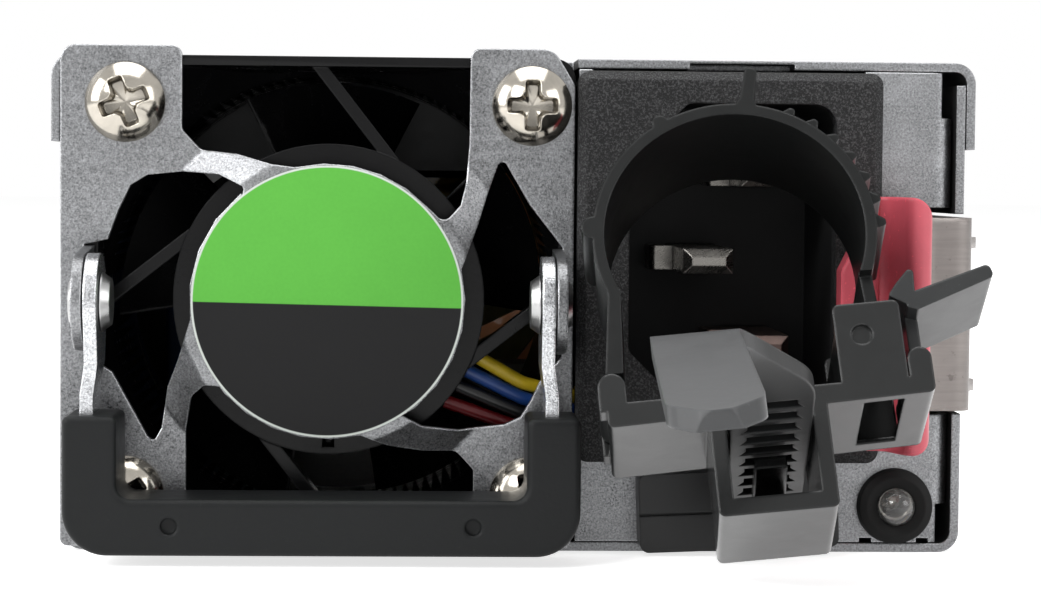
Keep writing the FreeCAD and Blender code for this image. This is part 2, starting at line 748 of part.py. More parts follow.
def inlet_housing():
    """Moulded inlet: proud bezel with a bevelled rim and a keyed socket behind it."""
    rim = [(bezel_left, bezel_bottom, 1.0), (bezel_right, bezel_bottom, 1.0),
           (bezel_right, bezel_top, 1.0), (bezel_left, bezel_top, 1.0)]
    bezel = plate_xz(rim, -bezel_proud, -0.05)
    edges = [e for e in bezel.Edges if abs(e.BoundBox.YMin + bezel_proud) < 1e-3
             and abs(e.BoundBox.YMax + bezel_proud) < 1e-3]
    bezel = bezel.makeChamfer(0.7, edges)
    shell = plate_xz(cavity_outline(2.0), -0.5, inlet_depth)
    housing = fuse(bezel, shell)
    housing = housing.cut(plate_xz(cavity_outline(0), -bezel_proud - 1, cavity_depth - bezel_proud))
    for _, x, z in pin_places():
        housing = housing.cut(pin_stock(x, z, 0.0, 0.02))
    return housing


def pin_places():
    return [("earth", earth_x, pin_z), ("neutral", line_x, pin_z + pin_span / 2),
            ("line", line_x, pin_z - pin_span / 2)]


pin_floor = cavity_depth - bezel_proud
pin_tail = 7.0


def pin_stock(x, z, front_inset, grow):
    w = pin_width / 2 + grow
    t = pin_thick / 2 + grow
    return box(x - w, pin_floor - 1.0 + front_inset, z - t, x + w, inlet_depth + pin_tail, z + t)


def inlet_pin(x, z, longer):
    """Flat blade with a chamfered tip, a shoulder low down on one side and a solder tail."""
    w = pin_width / 2
    t = pin_thick / 2
    tip = pin_floor - pin_length - longer
    blade = box(x - w, tip, z - t, x + w, inlet_depth, z + t)
    blade = blade.makeChamfer(0.65, edges_at(blade, tip))
    shoulder = rounded_box(x - w - 1.9, pin_floor - 5.5, z - t, x - w + 0.5, pin_floor - 0.3, z + t, 0.5, "z")
    tail = box(x - 1.2, inlet_depth - 0.5, z - 0.5, x + 1.2, inlet_depth + pin_tail, z + 0.5)
    tail = tail.cut(rod(V(x, inlet_depth + pin_tail - 2.4, z - 2), 0.7, 4, Z_AXIS))
    return fuse(blade, shoulder, tail)


# ---- latch --------------------------------------------------------------
def leaf_section():
    outer = half_width - 0.05
    rear = half_width - leaf_inset
    return [
        (28.4, leaf_front - 3.6),
        (31.2, leaf_front - 3.6, 0.9),
        (32.9, leaf_front, 0.9),
        (outer, leaf_front, 1.5),
        (outer, leaf_pivot_y - 14.0, 3.0),
        (rear, leaf_pivot_y - 8.0, 3.0),
        (rear, leaf_rear_y),
    ]


def leaf_strip():
    section = on_xy(leaf_section(), leaf_low)
    return bent(section, -leaf_sheet).extrude(V(0, 0, leaf_high - leaf_low))


def latch_leaf():
    """Spring leaf: front flange, rolled corner, long side and a riveted rear end, with two hooks."""
    leaf = leaf_strip()
    narrow = 2.6
    for z0, z1 in ((leaf_low - 1, leaf_low + narrow), (leaf_high - narrow, leaf_high + 1)):
        leaf = leaf.cut(box(30, leaf_pivot_y - 6.5, z0, 40, leaf_rear_y + 1, z1))
    for z in rivet_heights():
        leaf = leaf.cut(rod(V(30, leaf_pivot_y, z), leaf_rivet + 0.2, 10, X_AXIS))
    # each hook is a triangular ear folded over from the leaf's side
    outer = half_width - 0.05
    hooks = []
    for z in (leaf_high - 2.6, leaf_low + 1.0):
        hook = plate_xy([(outer - 0.5, 3.0), (outer + hook_reach, 8.2, 0.3), (outer + hook_reach, 9.4, 0.3),
                         (outer - 0.5, 9.8)], z, z + 0.9)
        hooks.append(hook)
    return fuse(leaf, *hooks)


def rivet_heights():
    middle = (leaf_low + leaf_high) / 2
    return (middle - 3.2, middle + 3.2)


def rivet_sink(z, grow):
    """Flush head and shank of one latch rivet, from the wall's outer face inwards."""
    face = inner_half - 0.03
    head = Part.makeCone(2.0 + grow, leaf_rivet + grow, 0.55, V(face, leaf_pivot_y, z), V(-1, 0, 0))
    shank = rod(V(anchor_x - 0.4, leaf_pivot_y, z), leaf_rivet + grow, face - anchor_x + 0.4, X_AXIS)
    return fuse(head, shank)


def latch_rivets():
    """Two flush rivets through the case wall, the leaf and the anchor plate."""
    rivets = []
    for z in rivet_heights():
        tail = Part.makeCone(1.5, 2.0, 0.5, V(anchor_x - 0.52, leaf_pivot_y, z), X_AXIS)
        rivets.append(fuse(rivet_sink(z, 0), tail))
    return Part.makeCompound(rivets)


def latch_anchor():
    """Plate inside the leaf's rear end that the rivets' tails lie on."""
    low, high = rivet_heights()
    plate = box(anchor_x, leaf_pivot_y - 3, low - 3, anchor_x + 0.8, leaf_pivot_y + 3, high + 3)
    for z in rivet_heights():
        plate = plate.cut(rod(V(anchor_x - 1, leaf_pivot_y, z), leaf_rivet + 0.02, 3, X_AXIS))
    return plate


def latch_tab():
    """Moulded thumb tab over the leaf's front flange, with a stepped wing towards the socket."""
    valley = tab_back - 2.2
    # the thumb pad bulges out at the right and falls back to a valley on the socket's side,
    # so a press doesn't reach the cord ring
    plan = plate_xy([(27.0, tab_back), (27.0, valley), (28.8, valley, 1.2), (30.0, tab_front, 0.8),
                     (tab_right, tab_front, 1.2), (tab_right, tab_back)], tab_low, tab_high)
    front = plate_xz([(20, tab_low), (tab_right, tab_low, 1.5), (tab_right, tab_high, 1.9),
                      (20, tab_high)], tab_front, tab_back)
    body = plan.common(front)
    wing = plate_xz([(28.2, tab_low + 0.4), (28.2, tab_high + 0.1), (26.4, tab_high + 0.1, 0.8),
                     (26.2, 24.6, 0.5), (tab_left, 22.8, 0.5), (tab_left, tab_low + 0.4, 1.0)],
                    tab_back - 2.4, tab_back)
    return fuse(body, wing).cut(leaf_strip())


# ---- light --------------------------------------------------------------
def led_lens():
    dome = Part.makeSphere(led_radius, V(led_x, -0.9, led_z))
    barrel = rod(V(led_x, -0.9, led_z), led_radius, 4.4)
    collar = rod(V(led_x, 3.0, led_z), led_radius + 0.35, 0.7)
    return fuse(dome, barrel, collar)


def led_leads():
    leads = []
    for side in (-1, 1):
        x = led_x + side * 0.64
        leads.append(box(x - 0.25, 3.75, led_z - 0.25, x + 0.25, board_front + 1.5, led_z + 0.25))
    return Part.makeCompound(leads)


def led_grommet():
    """Rubber ring that snaps into the panel and grips the light."""
    radius = grommet_radius
    hole = radius - 0.8
    profile = outline([
        (led_x + led_radius + 0.02, -0.95, led_z), (led_x + radius - 0.7, -1.15, led_z),
        (led_x + radius - 0.1, -0.85, led_z), (led_x + radius, -0.05, led_z),
        (led_x + hole, -0.05, led_z), (led_x + hole, panel_sheet + 0.05, led_z),
        (led_x + radius - 0.25, panel_sheet + 0.05, led_z), (led_x + hole, 2.6, led_z),
        (led_x + led_radius + 0.02, 2.6, led_z),
    ])
    return Part.Face(profile).revolve(V(led_x, 0, led_z), Y_AXIS, 360)


# ---- cord retainer ------------------------------------------------------
snap_z = 3.6


def snap_places():
    return (13.2, 22.4)


def along_strap(shape):
    """Place a shape drawn along the strap: its own -Y runs out and up from the root."""
    shape.rotate(V(0, 0, 0), Y_AXIS, -strap_roll)
    shape.rotate(V(0, 0, 0), X_AXIS, -strap_pitch)
    shape.rotate(V(0, 0, 0), Z_AXIS, -strap_yaw)
    shape.translate(strap_root)
    return shape


def retainer_strap():
    """Nylon strap: base with two snap studs, ladder between two rails, smooth drooping tongue."""
    base = rounded_box(9.9, -3.1, 0.55, 25.7, -0.15, 6.75, 0.7)
    base = base.cut(box(9, -4, 3.45, 27, -2.85, 3.65))
    base.rotate(V(17.8, 0, 3.6), Y_AXIS, -2.2)
    studs = []
    for x in snap_places():
        stem = rod(V(x, -0.4, snap_z), 1.4, 1.6)
        barb = Part.makeCone(1.95, 1.0, 1.6, V(x, panel_sheet + 0.25, snap_z), Y_AXIS)
        slit = box(x - 0.25, panel_sheet, snap_z - 3, x + 0.25, 4, snap_z + 3)
        studs.append(fuse(stem, barb).cut(slit))
    half = strap_width / 2
    thick = strap_thick / 2
    # side view: straight, then a bend down and a long thin end
    drop = math.radians(tongue_drop)
    knee = V(0, -strap_straight, 0)
    tip = knee + V(0, -math.cos(drop), -math.sin(drop)) * tongue_length
    side = bent([(0, 1.6, -thick), (0, knee.y, -thick, 9.0), (0, tip.y, tip.z - thick)], strap_thick)
    strap = side.extrude(V(strap_width + tongue_shift + 2, 0, 0))
    strap.translate(V(-half - tongue_shift - 1, 0, 0))
    # plan view: straight as far as the slider goes, a shift to the left, a rounded end
    left = -half - tongue_shift
    right = half - tongue_shift
    middle = (left + right) / 2
    plan = plate_xy([
        (-half, 4), (half, 4), (half, -strap_free, 9.0), (right, -strap_straight, 9.0),
        (right, tip.y + 1.6, 2.2), (middle + 0.8, tip.y - 0.6, 1.2), (middle - 0.8, tip.y - 0.6, 1.2),
        (left, tip.y + 1.6, 2.2), (left, -strap_straight, 9.0), (-half, -strap_free, 9.0),
    ], -30, 10)
    strap = strap.common(plan)
    pitch = 2.4
    rail = 1.15
    rungs = int((strap_free - 6.0) / pitch)
    for i in range(rungs):
        y = -5.0 - i * pitch
        strap = strap.cut(box(-half + rail, y - pitch + 0.7, -thick - 1, half - rail, y, thick - 0.35))
        for side_x in (-1, 1):
            edge = half - rail
            nick = plate_xy([(side_x * (edge - 0.1), y), (side_x * (edge + 0.45), y),
                             (side_x * (edge - 0.1), y - 1.1)], -thick - 1, thick - 0.35)
            strap = strap.cut(nick)
    return fuse(base, along_strap(strap), *studs)


def ring_section():
    """Band of the ring: its arc, the straight run to the hinge and the toothed end."""
    outer = ring_radius + ring_wall
    centre = V(ring_x, 0, ring_z)
    cylinder = rod(V(ring_x, clamp_front, ring_z), outer, clamp_length)
    bore = rod(V(ring_x, clamp_front - 1, ring_z), ring_radius, clamp_length + 2)
    band = cylinder.cut(bore)
    below = box(-30, clamp_front - 1, -10, 30, clamp_front + 20, ring_z - 3.9)
    band = band.cut(below)
    return band, centre, outer


hinge_x = -10.9
hinge_z = 3.95
head_left = 6.6
head_right = 10.2
head_top = 8.6
tooth_pitch = 10.2
tooth_count = 7


def clamp_ring():
    """Ring band with ratchet teeth, a finger fin, ribs and a hinge knuckle."""
    band, centre, outer = ring_section()
    y0 = clamp_front
    y1 = clamp_front + clamp_length
    fall = 3.9
    reach = math.sqrt(outer ** 2 - fall ** 2)
    inner_reach = math.sqrt(ring_radius ** 2 - fall ** 2)
    z = ring_z - fall
    down = plate_xz([(centre.x - reach, z + 0.3), (centre.x - inner_reach, z + 0.3),
                     (hinge_x + 0.95, hinge_z + 1.0), (hinge_x - 0.35, hinge_z + 1.0)], y0, y1)
    knuckle = rod(V(hinge_x, y0 + 2.2, hinge_z), 1.05, clamp_length - 4.4)
    neck = plate_xz([(hinge_x - 0.35, hinge_z + 1.2), (hinge_x + 0.9, hinge_z + 1.2),
                     (hinge_x + 0.9, hinge_z), (hinge_x - 0.35, hinge_z)], y0 + 2.2, y1 - 2.2)
    tail = plate_xz([(centre.x + inner_reach, z + 0.3), (centre.x + reach, z + 0.3),
                     (head_right - 1.15, 5.2), (head_right - 2.0, 5.2)], y0 + 1.2, y1 - 1.2)
    teeth = []
    for k in range(tooth_count):
        angle = 62.5 - k * tooth_pitch
        tooth = plate_xz([(outer - 0.3, -0.75), (outer + 0.75, -0.5, 0.2), (outer + 0.75, -0.1, 0.2),
                          (outer - 0.3, 0.75)], y0 + 0.6, y1 - 0.6)
        tooth.rotate(V(0, 0, 0), Y_AXIS, -angle)
        tooth.translate(centre)
        teeth.append(tooth)
    fin = plate_xz([(outer - 0.4, -0.95), (outer + 0.5, -0.5, 0.4), (outer + 2.9, -0.55, 0.3),
                    (outer + 3.1, 0.35, 0.3), (outer + 0.5, 0.5, 0.4), (outer - 0.4, 1.0)], y0, y0 + 7.0)
    fin.rotate(V(0, 0, 0), Y_AXIS, -79)
    fin.translate(centre)
    ribs = []
    for angle, size in ((172, 0.85), (116, 0.6)):
        a = math.radians(angle)
        place = centre + V(outer * math.cos(a), 0, outer * math.sin(a))
        ribs.append(rod(V(place.x, y0, place.z), size, clamp_length * 0.8))
    ring = fuse(band, down, knuckle, neck, tail, fin, *teeth, *ribs)
    ring = ring.cut(rod(V(hinge_x, y0, hinge_z), hinge_pin + running, clamp_length))
    return along_strap(ring)


hinge_pin = 0.45
lever_x = 11.15
lever_z = 4.0


def clamp_slider():
    """Slider: bar under the ring, box round the strap, catch head and both hinge cheeks."""
    y0 = clamp_front
    y1 = clamp_front + clamp_length
    bar = plate_xz([(bar_left - 1.0, bar_low, 0.5), (bar_right, bar_low + 0.5, 0.5),
                    (bar_right, bar_high, 0.6), (bar_left - 1.0, bar_high, 0.5)], y0, y1)
    mouth = strap_width / 2 + 0.25
    low = -6.4
    box_half = 4.25
    frame = plate_xz([(-box_half, bar_low + 0.6), (-box_half, low, 0.5), (box_half, low, 0.5),
                      (box_half, bar_low + 0.6)], y0, y1)
    window = box(-mouth, y0 - 1, low + 1.25, mouth, y1 + 1, bar_low + 0.0)
    # a tongue in the box that clicks into the strap's ladder
    click = plate_yz([(y1 - 1.0, -1.35), (y1 - 7.5, -1.1), (y1 - 8.0, -1.1), (y1 - 8.0, -1.9),
                      (y1 - 1.0, -2.4)], -1.2, 1.2)
    post = box(-1.2, y1 - 2.0, low + 1.0, 1.2, y1 - 0.6, -1.6)
    hole = box(head_left + 0.3, y0 + 0.9, bar_low - 1, head_right - 0.4, y1 - 1.6, bar_high + 1)
    head = rounded_box(head_left - 1.2, y0, bar_high - 0.4, head_right, y1, head_top, 0.5)
    # the ring's end passes down through the head, which is open towards the lever
    throat = box(head_left + 0.15, y0 + 0.9, bar_high - 1, head_right + 1, y1 - 0.9, head_top + 1)
    flare = plate_xz([(head_left - 2, 6.6), (head_left + 1, 6.6), (head_left + 1, 12), (head_left - 2, 12)],
                     y0 + 0.9, y1 - 0.9)
    dimple = rod(V(7.3, y0 - 0.5, 6.2), 0.75, 0.9)
    cheeks = []
    for x, z, size in ((hinge_x, hinge_z, 1.0), (lever_x, lever_z, 0.85)):
        for start in (y0, y1 - 1.9):
            cheek = rod(V(x, start, z), size, 1.9)
            foot = box(x - size, start, bar_high - 0.6, x + size, start + 1.9, z)
            cheeks += [cheek, foot]
    body = fuse(bar, frame, head, *cheeks).cut(window).cut(hole).cut(throat).cut(flare).cut(dimple)
    body = fuse(body, post, click)
    pins = [rod(V(hinge_x, y0 + 1.0, hinge_z), hinge_pin, clamp_length - 2.0),
            rod(V(lever_x, y0 + 1.0, lever_z), hinge_pin, clamp_length - 2.0)]
    return along_strap(fuse(body, *pins))


def clamp_lever():
    """Release lever: upright with a pawl towards the teeth and a thumb plate."""
    y0 = clamp_front + 2.2
    y1 = clamp_front + clamp_length - 2.2
    knuckle = rod(V(lever_x, y0, lever_z), 0.85, y1 - y0)
    upright = plate_xz([(lever_x - 0.4, lever_z), (lever_x + 0.5, lever_z), (lever_x + 0.5, 8.4),
                        (lever_x - 0.4, 8.4)], y0, y1)
    thumb = plate_xz([(lever_x - 0.4, 8.0, 0.2), (lever_x + 0.4, 7.7), (17.3, 9.7, 0.4), (17.0, 10.7, 0.4),
                      (lever_x - 0.2, 9.0, 0.2)], clamp_front, y1)
    pawl = plate_xz([(lever_x - 0.35, 8.2), (lever_x + 0.3, 8.8), (lever_x + 0.45, 11.3, 0.3),
                     (lever_x - 0.9, 9.9), (lever_x - 1.6, 9.0, 0.2)], clamp_front, clamp_front + 7.0)
    lever = fuse(knuckle, upright, thumb, pawl)
    return along_strap(lever.cut(rod(V(lever_x, y0 - 5, lever_z), hinge_pin + running, 20)))


# ---- inside -------------------------------------------------------------
edge_width = 44.0
standoff_radius = 2.3


def standoff_places():
    return [(-28.0, 44.0), (28.0, 62.0), (-28.0, 150.0), (28.0, 150.0)]


def main_board():
    """Board whose rear tongue is the edge connector."""
    half = inner_half - 2.4
    y1 = case_length - 4.0
    board = rounded_box(-half, board_front, board_z, half, y1, board_z + board_thick, 1.0, "z")
    tongue = plate_xy([(-edge_width / 2, y1 - 3), (edge_width / 2, y1 - 3),
                       (edge_width / 2, case_length + edge_reach, 0.9),
                       (-edge_width / 2, case_length + edge_reach, 0.9)], board_z, board_z + board_thick)
    key = box(6.0, case_length + 0.5, board_z - 1, 7.2, case_length + edge_reach + 1, board_z + 3)
    board = fuse(board, tongue).cut(key)
    for x, y in standoff_places():
        board = board.cut(rod(V(x, y, board_z - 1), 1.3, 5, Z_AXIS))
    return board


def edge_fingers():
    """Gold pads on both faces: wide ones for power, narrow ones for signals."""
    pads = []
    y0 = case_length + 1.2
    y1 = case_length + edge_reach - 0.8
    places = [(-20.0 + i * 3.6, 1.3) for i in range(7)] + [(9.6 + i * 1.6, 0.5) for i in range(8)]
    for x, half in places:
        for z0 in (board_z - 0.1, board_z + board_thick):
            pads.append(box(x - half, y0, z0, x + half, y1, z0 + 0.1))
    return Part.makeCompound(pads)


def standoffs():
    posts = []
    for x, y in standoff_places():
        post = rod(V(x, y, sheet), standoff_radius, board_z - sheet, Z_AXIS)
        posts.append(post.cut(rod(V(x, y, 0), 1.2, board_z + 1, Z_AXIS)))
    return Part.makeCompound(posts)


def board_screws():
    screws = []
    for x, y in standoff_places():
        top = board_z + board_thick
        head = rod(V(x, y, top), 2.4, 1.5, Z_AXIS)
        shank = rod(V(x, y, 0.9), 1.2, top - 0.5, Z_AXIS)
        cross = fuse(box(x - 1.3, y - 0.25, top + 0.8, x + 1.3, y + 0.25, top + 2),
                     box(x - 0.25, y - 1.3, top + 0.8, x + 0.25, y + 1.3, top + 2))
        screws.append(fuse(head, shank).cut(cross))
    return Part.makeCompound(screws)


def insulator():
    """Film between board and tray, with clearance round the standoffs."""
    half = inner_half - 1.2
    film = box(-half, board_front - 1.0, sheet + 0.3, half, case_length - 6.0, sheet + 0.7)
    for x, y in standoff_places():
        film = film.cut(rod(V(x, y, 0), standoff_radius + 0.3, 5, Z_AXIS))
    return film


deck = board_z + board_thick


def capacitor(x, y, radius, length):
    axis = V(x, y, deck + radius + 0.1)
    can = rod(axis, radius, length)
    groove = rod(axis + V(0, length - 3.1, 0), radius + 1, 1.0).cut(rod(axis, radius - 0.4, length))
    return can.cut(groove)


def bulk_capacitors():
    return Part.makeCompound([capacitor(x, 66.0, 12.5, 38.0) for x in (-21.0, 5.5)])


def bobbin_part(x, y, width, depth, height, wire):
    """Ferrite core of two E halves and the winding in its window."""
    core = rounded_box(x - width / 2, y - depth / 2, deck + 0.3, x + width / 2, y + depth / 2,
                       deck + height, 0.8, "z")
    gap = depth * 0.3
    window = box(x - width / 2 + 3.5, y - depth, deck + 4.0, x - width * 0.14, y + depth, deck + height - 3.6)
    other = window.mirror(V(x, y, 0), X_AXIS)
    core = core.cut(window).cut(other)
    coil = rounded_box(x - width / 2 + 3.8, y - depth / 2 - wire, deck + 4.3, x + width / 2 - 3.8,
                       y + depth / 2 + wire, deck + height - 3.9, gap, "z")
    leg = box(x - width * 0.14 - 0.2, y - depth / 2 - 0.2, deck, x + width * 0.14 + 0.2, y + depth / 2 + 0.2,
              deck + height)
    return core, coil.cut(leg)


def choke_core_and_coil(x, y, major, minor, turns):
    """Ring core standing on edge, with separate turns of wire over it."""
    z = deck + major + minor + 1.4
    face = V(x, y - minor, z)
    core = rod(face, major + minor, 2 * minor).cut(rod(face, major - minor, 2 * minor))
    coils = []
    inner = minor + 0.1
    outer = minor + 1.1
    for k in range(turns):
        turn = box(major - outer, y - outer, -0.5, major + outer, y + outer, 0.5)
        turn = turn.cut(box(major - inner, y - inner, -1, major + inner, y + inner, 1))
        turn.rotate(V(0, 0, 0), Y_AXIS, 20 + k * 320 / (turns - 1))
        turn.translate(V(x, 0, z))
        coils.append(turn)
    return core, Part.makeCompound(coils)


def heatsink(x, y0, y1, fins, side):
    """Extruded comb: an upright plate with fins to one side."""
    height = 26.0
    plate = box(x - 1.0, y0, deck + 0.2, x + 1.0, y1, deck + height)
    combs = [plate]
    for k in range(fins):
        z = deck + 4.0 + k * (height - 6.0) / (fins - 1)
        x0, x1 = sorted((x + side * 0.5, x + side * 5.0))
        combs.append(box(x0, y0, z, x1, y1, z + 1.0))
    return fuse(*combs)


def transistors(x, y_start, count, side):
    packs = []
    for k in range(count):
        y = y_start + k * 11.5
        x0, x1 = sorted((x + side * 1.05, x + side * 3.6))
        body = box(x0, y - 4.6, deck + 6.0, x1, y + 4.6, deck + 18.0)
        hole = rod(V(x0 - 1, y, deck + 15.0), 1.5, 6, X_AXIS)
        legs = [box(x0 + 0.8, y + d - 0.4, deck, x0 + 1.5, y + d + 0.4, deck + 6.2)
                for d in (-2.5, 0, 2.5)]
        packs.append(fuse(body.cut(hole), *legs))
    return Part.makeCompound(packs)


def small_capacitors():
    cans = []
    for x in (-12.0, -3.4, 5.2):
        for y in (158.0, 167.0):
            can = rod(V(x, y, deck + 0.2), 4.0, 14.0, Z_AXIS)
            can = can.cut(box(x - 3, y - 0.15, deck + 13.9, x + 3, y + 0.15, deck + 15))
            cans.append(can)
    return Part.makeCompound(cans)


def control_board():
    card = box(26.0, 84.0, deck, 27.6, 128.0, deck + 24.0)
    chips = [box(24.6, 90.0 + k * 12.0, deck + 8.0, 26.1, 97.0 + k * 12.0, deck + 15.0) for k in range(3)]
    return card, Part.makeCompound([chip.cut(card) for chip in chips])


def relay():
    return rounded_box(-32.0, 47.0, deck, -18.0, 60.0, deck + 16.0, 0.6, "z")


def x_capacitor():
    return rounded_box(22.5, 37.0, deck, 32.0, 55.0, deck + 15.0, 0.8, "z")


def fuse_link():
    return rod(V(-12.0, 36.0, deck + 3.3), 2.9, 9.0)


def fan_socket():
    block = box(fan_x + 14.0, board_front + 1.0, deck, fan_x + 25.0, board_front + 7.0, deck + 6.0)
    slot = box(fan_x + 15.0, board_front + 0.5, deck + 1.4, fan_x + 24.0, board_front + 5.5, deck + 5.0)
    return block.cut(slot)


parts["case_base"] = case_base()
parts["top_cover"] = cover()
parts["cover_screws"] = cover_screws()
parts["cover_brackets"] = cover_brackets()
parts["rear_panel"] = rear_panel()
parts["front_panel"] = front_panel()
parts["fan_frame"] = fan_frame()
parts["fan_rotor"] = fan_rotor()
parts["fan_shaft"] = fan_shaft()
parts["fan_bearings"] = bearings()
parts["bearing_tube"] = bearing_tube()
parts["motor_stator"] = motor_stator()
parts["motor_board"] = motor_board()
for number, colour in enumerate(("yellow", "blue", "black", "red")):
    parts["fan_wire_" + colour] = fan_wire(number)
parts["fan_guard"] = fan_guard()
parts["fan_screws"] = fan_screws()
parts["hub_label"] = hub_label()
parts["handle_arm_left"] = handle_arm(-1)
parts["handle_arm_right"] = handle_arm(1)
parts["handle_grip"] = handle_grip()
parts["handle_rivets"] = handle_rivets()
parts["inlet_housing"] = inlet_housing()
for name, x, z in pin_places():
    parts[name + "_pin"] = inlet_pin(x, z, 1.2 if name == "earth" else 0.0)
parts["latch_leaf"] = latch_leaf()
parts["latch_rivets"] = latch_rivets()
parts["latch_anchor"] = latch_anchor()
parts["latch_tab"] = latch_tab()
parts["led_lens"] = led_lens()
parts["led_leads"] = led_leads()
parts["led_grommet"] = led_grommet()
parts["retainer_strap"] = retainer_strap()
parts["clamp_slider"] = clamp_slider()
parts["clamp_ring"] = clamp_ring()
parts["clamp_lever"] = clamp_lever()
parts["main_board"] = main_board()
parts["edge_fingers"] = edge_fingers()
parts["board_standoffs"] = standoffs()
parts["board_screws"] = board_screws()
parts["insulator_film"] = insulator()
parts["bulk_capacitors"] = bulk_capacitors()
parts["transformer_core"], parts["transformer_coil"] = bobbin_part(-6.0, 128.0, 34.0, 22.0, 27.0, 4.0)
parts["choke_core"], parts["choke_coil"] = choke_core_and_coil(8.0, 48.0, 8.5, 3.2, 13)
parts["input_heatsink"] = heatsink(29.5, 66.0, 82.0, 4, -1)
parts["output_heatsink"] = heatsink(-28.5, 112.0, 146.0, 5, -1)
parts["output_transistors"] = transistors(-28.5, 118.0, 3, 1)
parts["output_capacitors"] = small_capacitors()
parts["control_board"], parts["control_chips"] = control_board()
parts["input_relay"] = relay()
parts["x_capacitor"] = x_capacitor()
parts["fuse_link"] = fuse_link()
parts["fan_socket"] = fan_socket()

os.makedirs("parts", exist_ok=True)
to_middle = V(0, -case_length / 2, 0)
for name, shape in parts.items():
    shape.translate(to_middle)
    shape.exportStep("parts/" + name + ".step")
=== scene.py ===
import math

import bmesh
import bpy
from mathutils import Matrix, Vector


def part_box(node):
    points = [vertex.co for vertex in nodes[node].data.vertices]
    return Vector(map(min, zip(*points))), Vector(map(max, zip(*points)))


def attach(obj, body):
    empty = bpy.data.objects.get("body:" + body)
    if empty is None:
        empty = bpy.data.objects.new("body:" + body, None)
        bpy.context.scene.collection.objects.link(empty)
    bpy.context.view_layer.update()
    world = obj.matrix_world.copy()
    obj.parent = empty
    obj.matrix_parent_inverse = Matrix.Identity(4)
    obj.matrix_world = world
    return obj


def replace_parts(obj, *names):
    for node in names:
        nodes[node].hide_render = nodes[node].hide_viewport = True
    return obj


# Looks of a slim hot swap power supply. Metres; +Y runs into the supply, +Z is up.

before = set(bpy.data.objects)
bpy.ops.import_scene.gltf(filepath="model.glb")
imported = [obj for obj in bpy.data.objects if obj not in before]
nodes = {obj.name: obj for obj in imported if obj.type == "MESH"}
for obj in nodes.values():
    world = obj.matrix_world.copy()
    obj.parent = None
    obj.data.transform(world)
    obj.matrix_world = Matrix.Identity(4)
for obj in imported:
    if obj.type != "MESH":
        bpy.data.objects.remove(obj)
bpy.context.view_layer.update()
MM = 0.001
CASE_MIDDLE = (0.0, 0.0, 19.6 * MM)


def box_middle(name):
    """Middle of the box round a CAD node."""
    low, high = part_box(name)
    return [(a + b) / 2 for a, b in zip(low, high)]


# ---- shader expressions ------------------------------------------------------
class Term:
    """A value in a material's node tree: sums, products and powers add Math nodes."""

    def __init__(self, paint, socket):
        self.paint = paint
        self.socket = socket

    def __add__(self, other):
        return self.paint.math("ADD", self, other)

    def __sub__(self, other):
        return self.paint.math("SUBTRACT", self, other)

    def __mul__(self, other):
        return self.paint.math("MULTIPLY", self, other)

    def __pow__(self, other):
        return self.paint.math("POWER", self, other)

    def __radd__(self, other):
        return self.paint.math("ADD", other, self)

    def __rsub__(self, other):
        return self.paint.math("SUBTRACT", other, self)

    def __rmul__(self, other):
        return self.paint.math("MULTIPLY", other, self)


